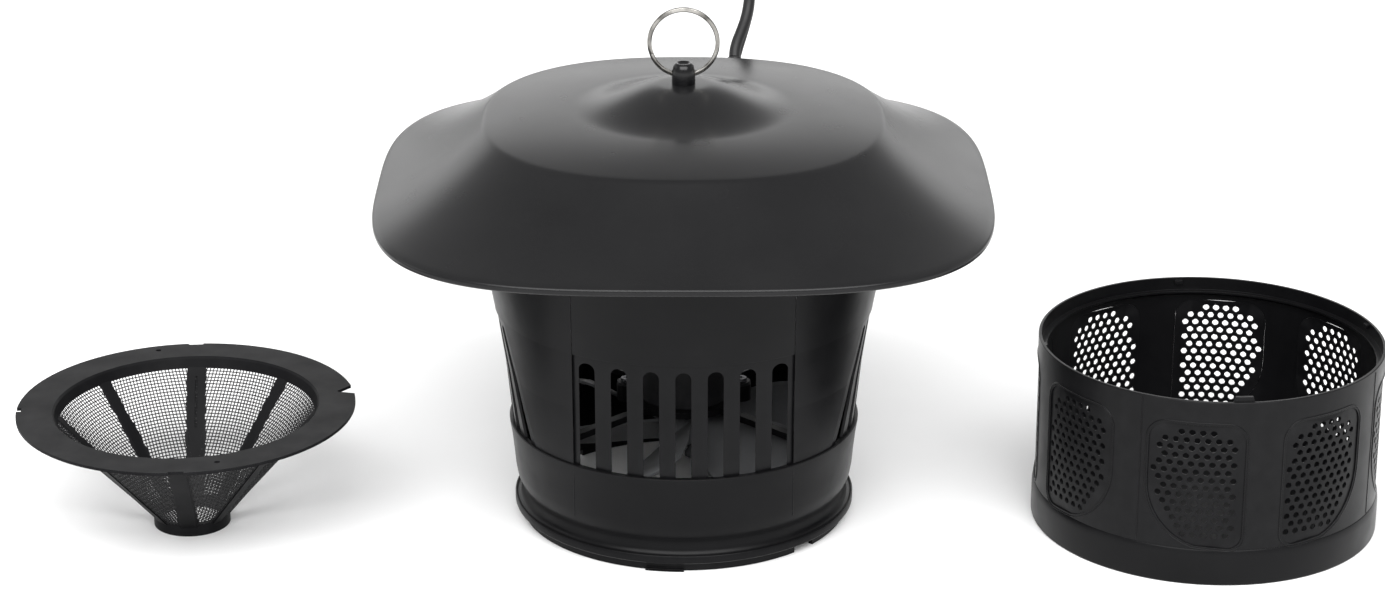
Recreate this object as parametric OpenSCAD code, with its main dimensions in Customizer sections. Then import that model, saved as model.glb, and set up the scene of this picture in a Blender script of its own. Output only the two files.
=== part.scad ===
// Fan-suction insect trap, laid out in its three loose units:
// the head (roof, lamps, fan), the funnel and the catch basket.
// Millimetres, +Z up. The origin is at the centre of the head's air outlet,
// on the surface that all three units stand on. -Y is the front.

/* [Roof] */
// Half width of the roof at its rim
roof_half = 162; // [158:0.5:166]
// Squareness of the rim: 2 is a circle, larger is squarer
rim_square = 3.3; // [2.6:0.1:4]
// Height of the rim's lower edge
rim_z = 181.7; // [180:0.5:184]
// Half width of the raised middle of the roof
plateau_half = 105; // [103:0.5:107]
// Squareness of the raised middle
plateau_square = 2.4; // [2:0.1:3]
// Height of the crease round the raised middle
plateau_z = 222.3; // [221.3:0.5:223.3]
// Height of the dome's flat top, where the hanging post stands
dome_z = 240.2; // [239.2:0.2:241.2]
// Thickness of the roof's wall
roof_wall = 2.4; // [2:0.1:3]

/* [Hanger] */
// Radius of the hanging post
post_r = 6.2; // [5.5:0.1:6.5]
// Height of the post above the dome
post_h = 11.2; // [10.8:0.1:12]
// Outer radius of the split ring
ring_r = 19; // [17:0.5:19.5]
// Thickness of the split ring's section
ring_wire = 2.4; // [2:0.1:2.6]

/* [Housing] */
// Outer radius of the lip that covers the basket's rim
lip_r = 92; // [91.5:0.1:92.5]
// Outer radius of the spigot below the lip
spigot_r = 88; // [87:0.1:88]
// Height of the spigot below the lip
spigot_h = 5.3; // [4.5:0.1:5.6]
// Height of the lower ring's top edge
ring_top_z = 54.5; // [54:0.1:55]
// Height of the ledge above the grilles
ledge_z = 120.5; // [119:0.5:122]
// Height of the drum's top
drum_top_z = 204; // [203:0.5:205]
// Wall thickness of the drum
drum_wall = 2.2; // [2:0.1:2.5]
// Half width of the front and rear grille panels
panel_half = 57.5; // [56:0.5:58]
// Width of a grille slot
slot_w = 8.2; // [7:0.1:9]
// Distance from one grille slot to the next
slot_pitch = 16.6; // [16:0.1:16.8]
// Height of the top of the grille slots
slot_top_z = 116.5; // [112:0.5:117]

/* [Fan] */
// Outer radius of the fan
fan_r = 80; // [70:1:81]
// Number of fan blades
blade_count = 6; // [4:1:7]
// Angle of a blade to the horizontal
blade_pitch = 33; // [25:1:34]
// Chord of a blade
blade_chord = 46; // [34:1:46]
// Radius of the motor shaft
shaft_r = 2.5; // [2:0.1:2.6]

/* [Funnel] */
// Outer radius of the funnel's flange
flange_r = 90.1; // [89:0.1:90.1]
// Radius of the opening in the flange
mouth_r = 71; // [69:0.5:72]
// Height of the funnel
funnel_h = 67.6; // [66:0.1:70]
// Outer radius of the funnel's small end
throat_r = 20.5; // [18:0.5:22]
// Number of ribs on the cone
rib_count = 8; // [6:1:10]

/* [Basket] */
// Outer radius of the basket's wall
basket_r = 92; // [91.9:0.05:92.1]
// Height of the basket
basket_h = 102.6; // [101:0.1:105]
// Number of perforated windows round the basket
window_count = 8; // [8]
// Width of one window, measured round the wall
window_w = 50; // [44:1:51]
// Height of the windows' lower edge
window_z0 = 20.6; // [20.6:0.1:24]
// Height of the windows' upper edge
window_z1 = 89.5; // [84:0.5:90]

/* [Cord] */
// Diameter of the mains cord
cord_d = 6.4; // [5.6:0.1:6.8]

/* [Layout] */
// How far left of the head the funnel stands
funnel_x = -266; // [-280:1:-258]
// How far in front of the head's axis the funnel stands
funnel_y = -25; // [-40:1:0]
// How far right of the head the basket stands
basket_x = 282; // [276:1:300]
// How far in front of the head's axis the basket stands
basket_y = -14; // [-40:1:0]

/* [Hidden] */

$fn = 96;
small = 0.1;              // how far a cut runs past the face it opens

// Roof outline
round_steps = 72;         // points round each outline of the roof
slope_steps = 7;          // outlines between the crease and the rim
dome_steps = 6;           // outlines from the dome's top to its foot
dome_foot_r = 60;
dome_gather = 0.85;       // below 1, the dome rises more steeply near its middle
dome_foot_z = plateau_z + 5.2;
// Outlines of the gently falling middle, between the dome and the crease
middle = [[74, 2.2, dome_foot_z - 0.9], [90, 2.3, plateau_z + 2.5], [100, 2.35, plateau_z + 0.9]];
dome_top_r = 12;
stem_r = 4;               // threaded stem of the hanging post
stem_l = 16;
stem_hole_r = stem_r + 0.3;
washer_r = 8;
washer_t = 1.2;
post_nut_r = 7.5;
post_nut_h = 6;
rim_drop = 3.8;           // height of the turned-down rim
slope_bend = 0.35;        // how much steeper the slope starts than it ends

// Drum outline: radius and height of its outside, from the lower ring up
drum_outline = [[93.3, ring_top_z], [96.7, 87.5], [101.5, ledge_z], [110, 165], [111, drum_top_z]];
panel_step = 1.2;         // how far the grilles lie behind the drum's face
panel_gap = 0.2;
panel_top_z = 198;
top_flange_t = 2.2;
top_flange_in = 90;       // inner radius of the drum's top flange
side_half_low = 51;       // half width of a side grille at its foot
side_half_high = 36;      // and at its top
roof_screw_r = 96;
roof_boss_h = 17.5;
roof_boss_r = 5;
lead_way_w = 11;          // window in the roof's skirt for the two conductors
lead_way_h = 7.5;
plate_pad_in = 97;        // pads inside the drum that carry the lamp plate
plate_pad_out = 108.4;
plate_pad_w = 7;
plate_pad_h = 10;
corner_az = [45, 135, 225, 315];
lug_az = [-96.4, -6.4, 94.2, 173.6];   // bayonet lugs, from the front towards +X
lug_span = 13;
lug_h = 1.4;
lug_out = 2;              // how far a lug stands out from the spigot
gap_az = [46.5, 226.5];   // gaps in the spigot
gap_w = 14;
gap_h = 3.5;

// Lower housing, radius and height: its outside from the top down, its inside from the foot up
lower_outside = [[94.4, ring_top_z], [94.2, 52], [93.2, 46], [92.1, 36], [91.4, 28], [90.4, 22.5],
    [88.9, 19], [87.3, 16.4], [88, 13.4], [89.6, 10.6], [91.2, 9], [lip_r, 8.4]];
outlet_r = 85.5;          // bore of the air outlet
duct_inside = [[outlet_r, 0], [outlet_r, 15], [87.4, 21], [89.2, 32], [91, 46], [91.1, ring_top_z]];
screw_post_z = 40;        // foot of the posts that carry the motor mount
screw_post_r = 3.8;
tab_az = 3;               // the basket's front tab, and the pocket that takes it
tab_w = 13;
tab_h = 5.6;
tab_t = 1.9;
tab_pocket_in = 86.8;
tab_pocket_t = 3.9;
tab_pocket_h = 3.3;

// Fan group
mount_z = 61.5;
mount_t = 3.5;
mount_hub_r = 30;
mount_pad_x = 86;
motor_ear_x = 31;
motor_ear_z = 70.3;
motor_r = 24.5;
motor_z0 = mount_z + mount_t;
motor_z1 = 97;
fan_mid_z = 45;
hub_r = 15;
blade_t = 1.8;
shaft_play = 0.05;        // radial running clearance of the shaft
shaft_below = 11;         // how far the shaft reaches below the blades' middle

// Lamps and electronics
plate_z = 172;
plate_t = 2;
plate_r = 103;
plate_screw_r = 100;
plate_wire_hole = [12, 30];   // where the motor lead passes the plate
lamp_x = 45;
board_y = 48;

// Cord, by hand: out of the roof, over, down behind the housing and on to the floor
cord_r = cord_d / 2;
relief_tip = [28.4, 144.6, 209.7];
relief_lean = 31;         // the relief stands square to the roof's rear slope
relief_l = 22;
cord_route = [[28.4, 144.8, 210], [28.7, 146.7, 213.1], [29.9, 149, 217.4], [31.8, 151, 221.9],
    [33.6, 152.8, 226.3], [35.1, 154.9, 230.7], [36.2, 157.6, 235.2], [36.9, 161.6, 239.8],
    [37.3, 168.4, 244.9], [37.5, 177, 247.4], [37.6, 186.5, 246.7], [37.7, 195, 243.2],
    [37.8, 202, 237], [37.8, 206.5, 228.8], [37.2, 208.3, 219.5], [35.4, 208.3, 211],
    [33.2, 208.3, 203], [30.9, 208.3, 195], [28.9, 208.3, 187], [27.4, 208.2, 178],
    [26.5, 208, 165], [26, 207.5, 150], [26, 206.5, 130], [26, 205.5, 110], [26, 205, 90],
    [26, 205, 70], [26, 205, 50], [26, 204.2, 36], [26, 201.5, 25], [26, 196.5, 15.5],
    [26, 189, 8.2], [26, 180, 4.4], [26, 170, 3.3], [26, 158, 3.3], [26, 146, 3.3]];
coil_x = -17;
coil_y = 145;
coil_out = 43;            // wire centre of the outermost turn
coil_in = 21.9;           // and of the innermost turn
coil_layers = 2;
tail_route = [[-60, 146, 9.6], [-60.1, 154, 8.9], [-60.4, 162, 6.6], [-60.9, 170, 4.4], [-61.5, 178, 3.4],
    [-62, 186.4, 3.3], [-60, 196.2, 3.7], [-54.5, 204.5, 4.9], [-46.2, 210, 6.3], [-40, 211.8, 6.9],
    [-36.4, 212, 7]];
plug_at = [-36, 212, 7];
lead_wire_r = 1.3;        // one insulated conductor
lead_route = [[28.4, 133.1, 190.5], [28.4, 132, 188.7], [28.3, 129.8, 187.2], [28, 126.6, 187.6],
    [27.5, 121, 192], [27.5, 116, 198], [27.5, 112, 204], [27.5, 107, 207.8], [26.5, 100, 208.6],
    [24, 90, 207], [20, 80, 201], [16, 73.5, 192], [13.6, 70, 186.6], [13.1, 67.5, 185], [13, 64.4, 184.6]];
motor_lead_route = [[12, 30, 172], [12, 30, 164], [13, 29, 150], [15, 26, 134], [17, 22, 120],
    [18, 18, 108], [18, 14, 100], [18, 12, 97]];

// Basket
basket_wall_t = 1.6;
tray_h = 20;
tray_t = 0.9;
ledge_below_rim = 7;      // the funnel's flange rests on a ledge this far below the rim
ledge_in = 3.2;           // how far the ledge reaches in
window_az0 = -11.5;       // the first window, from the front towards +X
window_swept_r = 35;      // the swept lower corner of a window
window_foot_r = 7;        // its other lower corner
window_top_r = 10;        // and its upper corners
screen_t = 1;
peg_az = [4, 104.6, 184, 274];         // pegs inside the rim, from the front towards +X
peg_w = 4;

// Functions -----------------------------------------------------------------

// Point on a superellipse of half width w and squareness n, in direction a
function outline_point(w, n, a) =
    let (c = cos(a), s = sin(a), r = w * pow(pow(abs(c), n) + pow(abs(s), n), -1 / n))
    [r * c, r * s];

function outline(w, n, z) =
    [for (i = [0:round_steps - 1]) let (p = outline_point(w, n, 360 * i / round_steps)) [p[0], p[1], z]];

function mix(a, b, t) = a + (b - a) * t;

// The outside of the roof as outlines [half width, squareness, height], from the dome to the rim
function dome_height(t) = mix(dome_foot_z, dome_z, 0.5 + 0.5 * cos(180 * pow(t, dome_gather)));
function slope_drop(t) = (1 + slope_bend) * t - slope_bend * t * t;
rim_top_z = rim_z + rim_drop;
roof_outside = concat(
    [[stem_hole_r, 2, dome_z]],
    [for (i = [0:dome_steps]) let (t = i / dome_steps)
        [mix(dome_top_r, dome_foot_r, t), 2, dome_height(t)]],
    middle,
    [for (i = [0:slope_steps]) let (t = i / slope_steps)
        [mix(plateau_half, roof_half - 0.8, t), mix(plateau_square, rim_square, t),
         plateau_z - (plateau_z - rim_top_z) * slope_drop(t)]],
    [[roof_half, rim_square, rim_top_z - 1.2], [roof_half, rim_square, rim_z + 0.8],
     [roof_half - 0.8, rim_square, rim_z]]);
roof_inside = concat(
    [[roof_half - roof_wall, rim_square, rim_z],
     [roof_half - roof_wall - 0.4, rim_square, rim_top_z - roof_wall]],
    [for (i = [slope_steps - 1:-1:0]) let (t = i / slope_steps)
        [mix(plateau_half, roof_half, t) - 0.6, mix(plateau_square, rim_square, t),
         plateau_z - (plateau_z - rim_top_z) * slope_drop(t) - roof_wall]],
    [for (i = [1:-1:0]) middle[i] - [0, 0, roof_wall]],
    [for (i = [dome_steps:-1:0]) let (t = i / dome_steps)
        [mix(dome_top_r, dome_foot_r, t), 2, dome_height(t) - roof_wall]],
    [[stem_hole_r, 2, dome_z - roof_wall]]);

// Frame along a route: the point before and after index i give its direction
function unit(v) = v / norm(v);
function heading(route, i) =
    unit(route[min(i + 1, len(route) - 1)] - route[max(i - 1, 0)]);
function side_of(d) = abs(d[1]) < 0.9 ? unit(cross(d, [0, 1, 0])) : unit(cross(d, [1, 0, 0]));
function ring_at(p, d, r, sides) =
    let (u = side_of(d), v = cross(u, d))
    [for (k = [0:sides - 1]) let (a = 360 * k / sides) p + r * (cos(a) * u + sin(a) * v)];

// Arc of points about centre c
function arc(c, r, a0, a1, steps) =
    [for (i = [0:steps]) let (a = mix(a0, a1, i / steps)) [c[0] + r * cos(a), c[1] + r * sin(a)]];

// Outside radius of the drum at height z
function drum_r(z) = lookup(z, [for (p = drum_outline) [p[1], p[0]]]);

// Azimuth from the front (-Y), turning towards +X, as a rotation about Z
function from_front(az) = az - 90;

// Shared shapes -------------------------------------------------------------

// Closed skin through a list of rings, each with the same number of points
module ring_skin(rings, closed_loop) {
    n = len(rings[0]);
    m = len(rings);
    last = closed_loop ? m - 1 : m - 2;
    walls = [for (j = [0:last]) for (i = [0:n - 1])
        let (a = j * n + i, b = j * n + (i + 1) % n,
             c = ((j + 1) % m) * n + (i + 1) % n, d = ((j + 1) % m) * n + i)
        each [[a, b, c], [a, c, d]]];
    caps = closed_loop ? [] : [[for (i = [n - 1:-1:0]) i], [for (i = [0:n - 1]) (m - 1) * n + i]];
    polyhedron(points = [for (r = rings) each r], faces = concat(walls, caps), convexity = 6);
}

// Round cord along a route
module cord_along(route, r, sides = 8) {
    ring_skin([for (i = [0:len(route) - 1]) ring_at(route[i], heading(route, i), r, sides)], false);
}

// Drum wall between two heights, moved in by step
module drum_shell(z0, z1, step = 0) {
    zs = concat([z0], [for (p = drum_outline) if (p[1] > z0 + small && p[1] < z1 - small) p[1]], [z1]);
    outer = [for (z = zs) [drum_r(z) - step, z]];
    inner = [for (i = [len(zs) - 1:-1:0]) [drum_r(zs[i]) - drum_wall, zs[i]]];
    rotate_extrude() polygon(concat(outer, inner));
}

// Pan-head screw, head up, its shank going down from the origin
module pan_screw(r, head_r, head_h, length) {
    translate([0, 0, -length]) cylinder(r = r, h = length + small, $fn = 24);
    difference() {
        cylinder(r = head_r, h = head_h, $fn = 32);
        for (a = [0, 90])
            rotate(a) translate([-head_r * 0.6, -0.4, head_h - 0.8]) cube([head_r * 1.2, 0.8, 2]);
    }
}

// Roof and hanger -----------------------------------------------------------

module roof_canopy() {
    color("#2b2c2e")
    difference() {
        union() {
            ring_skin([for (s = concat(roof_outside, roof_inside)) outline(s[0], s[1], s[2])], true);
            for (a = corner_az)
                rotate(a) translate([roof_screw_r, 0, drum_top_z])
                    cylinder(r = roof_boss_r, h = roof_boss_h, $fn = 32);
            roof_skirt();
        }
        for (a = corner_az)
            rotate(a) translate([roof_screw_r, 0, drum_top_z - small]) cylinder(r = 1.5, h = 10, $fn = 24);
        at_relief() translate([0, 0, -relief_l]) cylinder(r = relief_neck_r + 0.1, h = relief_l, $fn = 48);
    }
}

// Ring under the roof that closes the gap to the drum, with a way in for the lead
module roof_skirt() {
    skirt_r = drum_r(drum_top_z) - 0.2;
    intersection() {
        ring_skin([for (s = roof_outside) outline(s[0], s[1], s[2])], false);
        difference() {
            translate([0, 0, drum_top_z]) cylinder(r = skirt_r, h = 20);
            translate([0, 0, drum_top_z - small]) cylinder(r = skirt_r - drum_wall, h = 21);
            // window for the two conductors
            translate([relief_tip[0] - lead_way_w / 2, 90, drum_top_z - small])
                cube([lead_way_w, 40, lead_way_h]);
        }
    }
}

// Moves to the strain relief's tip, with +Z along the way out
module at_relief() {
    translate(relief_tip) rotate([-relief_lean, 0, 0]) children();
}

post_hole_z = dome_z + 4.9;
post_hole_r = 2.2;
module hanging_post() {
    color("#151517")
    difference() {
        rotate_extrude() polygon([[0, dome_z - stem_l], [stem_r, dome_z - stem_l], [stem_r, dome_z],
            [post_r, dome_z], [post_r + 0.1, dome_z + 0.45 * post_h], [post_r - 0.3, dome_z + 0.71 * post_h],
            [post_r - 1.2, dome_z + 0.91 * post_h], [post_r - 2.4, dome_z + post_h], [0, dome_z + post_h]]);
        translate([0, 0, post_hole_z]) rotate([0, 90, 0])
            cylinder(r = post_hole_r, h = 4 * post_r, center = true, $fn = 48);
    }
}

ring_mid_r = ring_r - ring_wire / 2;
ring_sag = 0.55;          // half the rise of the wire's curve across the post
ring_z = post_hole_z + ring_mid_r - ring_sag;

// The split ring is one closed ring here, upright in the post's hole
module hanging_ring() {
    color("#c9c9c6")
    translate([0, 0, ring_z]) rotate([90, 0, 0])
        rotate_extrude() translate([ring_mid_r, 0]) circle(d = ring_wire, $fn = 24);
}

module post_washer() {
    color("#b9bbbd")
    translate([0, 0, dome_z - roof_wall - washer_t]) difference() {
        cylinder(r = washer_r, h = washer_t);
        translate([0, 0, -small]) cylinder(r = stem_r, h = washer_t + 1);
    }
}

module post_nut() {
    color("#b9bbbd")
    translate([0, 0, dome_z - roof_wall - washer_t - post_nut_h]) difference() {
        cylinder(r = post_nut_r, h = post_nut_h, $fn = 6);
        translate([0, 0, -small]) cylinder(r = stem_r, h = post_nut_h + 1);
    }
}

// Cord ------------------------------------------------------------------------

// Tapered sleeve through the roof's rear slope, with a flange on each side of the roof's wall
relief_neck_r = 5.9;
module strain_relief() {
    tip_r = cord_r + 0.7;
    color("#1a1a1c")
    at_relief() rotate_extrude() polygon([[0, -relief_l], [7.4, -relief_l], [7.4, -17], [relief_neck_r, -17],
        [relief_neck_r, -13.3], [7.6, -13.3], [7.6, -12], [5.4, -11.6], [tip_r, 0], [0, 0]]);
}

// The two conductors from the strain relief to the board
module inner_lead() {
    color("#202022")
    for (side = [-1, 1])
        cord_along([for (p = lead_route) p + [side * (lead_wire_r + 0.2), 0, 0]], lead_wire_r);
}

module cord_tube() {
    color("#202022") cord_along(cord_route, cord_r);
}

module cord_coil() {
    color("#202022")
    translate([coil_x, coil_y, 0]) rotate_extrude()
        translate([coil_in - cord_r, 0]) square([coil_out - coil_in + cord_d, coil_layers * cord_d + 0.2]);
}

module cord_tail() {
    color("#202022") cord_along(tail_route, cord_r);
}

plug_len = 34;
plug_neck_l = 12;
plug_half_w = 13;
pin_gap = 9.3;            // half the distance between the pins
pin_l = 17.5;
module plug_body() {
    color("#1c1c1e")
    translate(plug_at) rotate([0, 90, 0]) {
        cylinder(r1 = 4.2, r2 = 5, h = plug_neck_l, $fn = 48);
        translate([0, 0, plug_neck_l]) intersection() {
            translate([-plug_at[2], -plug_half_w, 0])
                cube([2 * plug_at[2], 2 * plug_half_w, plug_len - plug_neck_l]);
            cylinder(r = plug_half_w + 0.2, h = plug_len - plug_neck_l, $fn = 64);
        }
    }
}

module plug_pins() {
    color("#cfcac0")
    for (y = [-pin_gap, pin_gap])
        translate(plug_at + [plug_len, y, 0]) rotate([0, 90, 0]) {
            cylinder(r = 2, h = pin_l, $fn = 32);
            translate([0, 0, pin_l]) sphere(r = 2, $fn = 32);
        }
}

// Drum and grilles ------------------------------------------------------------

module side_window(margin) {
    top_z = slot_top_z + 2.5 - margin;
    polygon([[-side_half_low + margin, ring_top_z - small], [side_half_low - margin, ring_top_z - small],
        [side_half_high - margin, top_z], [-side_half_high + margin, top_z]]);
}

// Block through one side of the drum with the side window's outline; side is 1 or -1
module side_block(side, margin) {
    translate([side * 60, 0, 0]) rotate([90, 0, 90])
        translate([0, 0, -50]) linear_extrude(height = 100) side_window(margin);
}

module upper_housing() {
    color("#262729") {
        difference() {
            union() {
                drum_shell(ring_top_z, drum_top_z);
                // flange that the roof is screwed to
                translate([0, 0, drum_top_z - top_flange_t]) difference() {
                    cylinder(r = drum_r(drum_top_z) - 1, h = top_flange_t);
                    translate([0, 0, -small]) cylinder(r = top_flange_in, h = top_flange_t + 1);
                }
                // pads that the lamp plate is screwed to
                for (a = corner_az)
                    rotate(a) translate([plate_pad_in, -plate_pad_w / 2, plate_z - plate_pad_h])
                        cube([plate_pad_out - plate_pad_in, plate_pad_w, plate_pad_h]);
            }
            translate([-panel_half, -200, ring_top_z - 1])
                cube([2 * panel_half, 400, panel_top_z - ring_top_z + 1]);
            for (side = [-1, 1]) side_block(side, 0);
            for (a = corner_az) {
                rotate(a) translate([roof_screw_r, 0, drum_top_z - 5]) cylinder(r = 1.8, h = 10, $fn = 24);
                rotate(a) translate([plate_screw_r, 0, plate_z - 8]) cylinder(r = 1.2, h = 10, $fn = 24);
            }
        }
    }
}

// Screws that hold the roof's bosses to the drum's top flange
module roof_screws() {
    color("#b9bbbd")
    for (a = corner_az)
        rotate(a) translate([roof_screw_r, 0, drum_top_z - top_flange_t])
            mirror([0, 0, 1]) pan_screw(1.5, 3.4, 2, 9);
}

module grille_slots() {
    for (k = [-3:3])
        translate([k * slot_pitch, 0, 0]) {
            translate([-slot_w / 2, -130, ring_top_z - 1])
                cube([slot_w, 100, slot_top_z - slot_w / 2 - ring_top_z + 1]);
            translate([0, -30, slot_top_z - slot_w / 2]) rotate([90, 0, 0])
                cylinder(r = slot_w / 2, h = 100, $fn = 32);
        }
}

// Front panel: plain above the ledge, set back and slotted below it
module grille_panel() {
    half = panel_half - panel_gap;
    difference() {
        intersection() {
            union() {
                drum_shell(ledge_z, panel_top_z - panel_gap);
                drum_shell(ring_top_z, ledge_z, panel_step);
            }
            translate([-half, -200, 0]) cube([2 * half, 200, 400]);
        }
        grille_slots();
    }
}

module front_grille() {
    color("#2a2b2d") grille_panel();
}

module rear_grille() {
    color("#2a2b2d") rotate(180) grille_panel();
}

// Side grille: slots that spread out towards the foot
side_slot_high = 5;       // width of a side slot at its top
side_slot_low = 8;        // and at its foot
side_pitch_high = 9.6;    // distance from slot to slot at their tops
side_pitch_low = 14;      // and at their feet
module side_grille(side) {
    intersection() {
        drum_shell(ring_top_z, ledge_z, 0.8);
        side_block(side, panel_gap);
        difference() {
            cube([400, 400, 400], center = true);
            for (k = [-3:3])
                rotate([90, 0, 90]) translate([0, 0, -200]) linear_extrude(height = 400)
                    polygon(concat([[k * side_pitch_low - side_slot_low / 2, ring_top_z - 1]],
                        [[k * side_pitch_low + side_slot_low / 2, ring_top_z - 1]],
                        arc([k * side_pitch_high, slot_top_z - 4], side_slot_high / 2, 0, 180, 8)));
        }
    }
}

module left_grille() {
    color("#2a2b2d") side_grille(-1);
}

module right_grille() {
    color("#2a2b2d") side_grille(1);
}

module lower_housing() {
    lip_z = spigot_h;
    color("#2b2c2e")
    difference() {
        union() {
            rotate_extrude() polygon(concat(lower_outside,
                [[lip_r, lip_z + 0.5], [lip_r - 0.5, lip_z], [spigot_r, lip_z], [spigot_r, 0]], duct_inside));
            for (a = lug_az)
                rotate(from_front(a)) rotate(-lug_span / 2) rotate_extrude(angle = lug_span)
                    translate([spigot_r - 0.5, 0]) square([lug_out + 0.5, lug_h]);
            for (a = corner_az) rotate(a) {
                translate([mount_pad_x, 0, screw_post_z])
                    cylinder(r = screw_post_r, h = mount_z - screw_post_z, $fn = 32);
                translate([mount_pad_x, -2, screw_post_z]) cube([6, 4, ring_top_z - screw_post_z - 1]);
            }
        }
        for (a = gap_az)
            rotate(from_front(a)) translate([spigot_r - 8, -gap_w / 2, -small]) cube([12, gap_w, gap_h]);
        // pocket for the basket's front tab
        rotate(from_front(tab_az)) translate([tab_pocket_in, -tab_w / 2 - 1, lip_z - small])
            cube([tab_pocket_t, tab_w + 2, tab_pocket_h]);
        for (a = corner_az)
            rotate(a) translate([mount_pad_x, 0, mount_z - 10]) cylinder(r = 1.25, h = 11, $fn = 24);
    }
}

// Fan group --------------------------------------------------------------------

module motor_mount() {
    color("#232426")
    difference() {
        union() {
            translate([0, 0, mount_z]) cylinder(r = mount_hub_r, h = mount_t);
            for (a = corner_az) rotate(a) {
                translate([27, -2.5, mount_z]) cube([mount_pad_x - 27, 5, mount_t]);
                translate([mount_pad_x, 0, mount_z]) cylinder(r = 4.8, h = mount_t, $fn = 32);
            }
            for (side = [-1, 1])
                translate([side * motor_ear_x, 0, mount_z])
                    cylinder(r = 5.3, h = motor_ear_z - mount_z, $fn = 32);
        }
        translate([0, 0, mount_z - small]) cylinder(r = 21, h = mount_t + 1);
        for (a = corner_az)
            rotate(a) translate([mount_pad_x, 0, mount_z - small]) cylinder(r = 1.5, h = 5, $fn = 24);
        for (side = [-1, 1])
            translate([side * motor_ear_x, 0, mount_z - small]) cylinder(r = 1.4, h = 12, $fn = 24);
    }
}

module mount_screws() {
    color("#b9bbbd")
    for (a = corner_az)
        rotate(a) translate([mount_pad_x, 0, mount_z + mount_t]) pan_screw(1.25, 2.8, 1.8, 11);
}

module fan_motor() {
    color("#3a3c40")
    difference() {
        union() {
            rotate_extrude() polygon([[0, motor_z0], [motor_r, motor_z0], [motor_r, motor_z1 - 4],
                [motor_r - 3, motor_z1], [9, motor_z1], [9, motor_z1 + 3], [0, motor_z1 + 3]]);
            for (side = [-1, 1])
                translate([side * motor_ear_x, 0, motor_ear_z]) cylinder(r = 5, h = 1.6, $fn = 32);
            translate([-motor_ear_x, -4, motor_ear_z]) cube([2 * motor_ear_x, 8, 1.6]);
        }
        translate([0, 0, motor_z0 - small]) cylinder(r = shaft_r + shaft_play, h = 60, $fn = 64);
        for (side = [-1, 1])
            translate([side * motor_ear_x, 0, motor_ear_z - small]) cylinder(r = 1.6, h = 3, $fn = 24);
    }
}

module motor_screws() {
    color("#b9bbbd")
    for (side = [-1, 1])
        translate([side * motor_ear_x, 0, motor_ear_z + 1.6]) pan_screw(1.4, 3, 1.8, 8);
}

module motor_lead() {
    color("#303236") cord_along(motor_lead_route, 1.6);
}

module motor_shaft() {
    color("#b4b6b8")
    translate([0, 0, fan_mid_z - shaft_below])
        cylinder(r = shaft_r, h = motor_z1 + 1 - fan_mid_z + shaft_below, $fn = 64);
}

module fan_rotor() {
    hub_z0 = fan_mid_z - 5;
    hub_h = 20;
    color("#3d3f42")
    difference() {
        union() {
            translate([0, 0, hub_z0]) cylinder(r = hub_r, h = hub_h - 4);
            translate([0, 0, hub_z0 + hub_h - 4]) cylinder(r1 = hub_r, r2 = hub_r - 5, h = 4);
            intersection() {
                for (k = [0:blade_count - 1])
                    rotate(360 * k / blade_count + 12) translate([0, 0, fan_mid_z])
                        rotate([blade_pitch, 0, 0]) translate([hub_r - 3, -blade_chord / 2, -blade_t / 2])
                        cube([fan_r, blade_chord, blade_t]);
                translate([0, 0, fan_mid_z - 20]) cylinder(r = fan_r, h = 40);
            }
        }
        translate([0, 0, hub_z0 - small]) cylinder(r = shaft_r, h = hub_h + 1, $fn = 64);
    }
}

module fan_nut() {
    color("#b9bbbd")
    translate([0, 0, fan_mid_z - 10]) difference() {
        cylinder(r = 6, h = 5, $fn = 6);
        translate([0, 0, -small]) cylinder(r = shaft_r, h = 6, $fn = 64);
    }
}

// Lamps and electronics -----------------------------------------------------------

module lamp_plate() {
    color("#dcdcd8")
    translate([0, 0, plate_z]) difference() {
        cylinder(r = plate_r, h = plate_t);
        for (a = corner_az)
            rotate(a) translate([plate_screw_r, 0, -small]) cylinder(r = 1.4, h = 3, $fn = 24);
        translate([plate_wire_hole[0], plate_wire_hole[1], -small]) cylinder(r = 3, h = 3, $fn = 32);
        for (side = [-1, 1]) translate([side * lamp_x, 0, -small]) cylinder(r = 4, h = 3, $fn = 32);
    }
}

module plate_screws() {
    color("#b9bbbd")
    for (a = corner_az)
        rotate(a) translate([plate_screw_r, 0, plate_z + plate_t]) pan_screw(1.2, 2.4, 1.6, 8);
}

holder_h = 18;
module lamp_holder(side) {
    translate([side * lamp_x, 0, plate_z - holder_h]) {
        cylinder(r = 13, h = 14);
        translate([0, 0, 14]) cylinder(r = 15, h = 4);
    }
}

module lamp_holder_left() {
    color("#e4e2da") lamp_holder(-1);
}

module lamp_holder_right() {
    color("#e4e2da") lamp_holder(1);
}

// Compact ultraviolet lamp: two glass legs joined by a bend at the foot
module uv_lamp(side) {
    base_h = 12;
    leg = 7.5;                        // half the distance between the legs
    leg_r = 5.5;
    bend_z = 112;
    leg_z = plate_z - holder_h - base_h;
    translate([side * lamp_x, 0, 0]) {
        translate([0, 0, leg_z]) cylinder(r = 15.5, h = base_h);
        for (y = [-leg, leg]) translate([0, y, bend_z]) cylinder(r = leg_r, h = leg_z - bend_z, $fn = 48);
        translate([0, 0, bend_z]) rotate([90, 0, 90]) rotate([0, 0, 180])
            rotate_extrude(angle = 180) translate([leg, 0]) circle(r = leg_r, $fn = 48);
    }
}

module uv_lamp_left() {
    color("#cfc6ea") uv_lamp(-1);
}

module uv_lamp_right() {
    color("#cfc6ea") uv_lamp(1);
}

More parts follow.
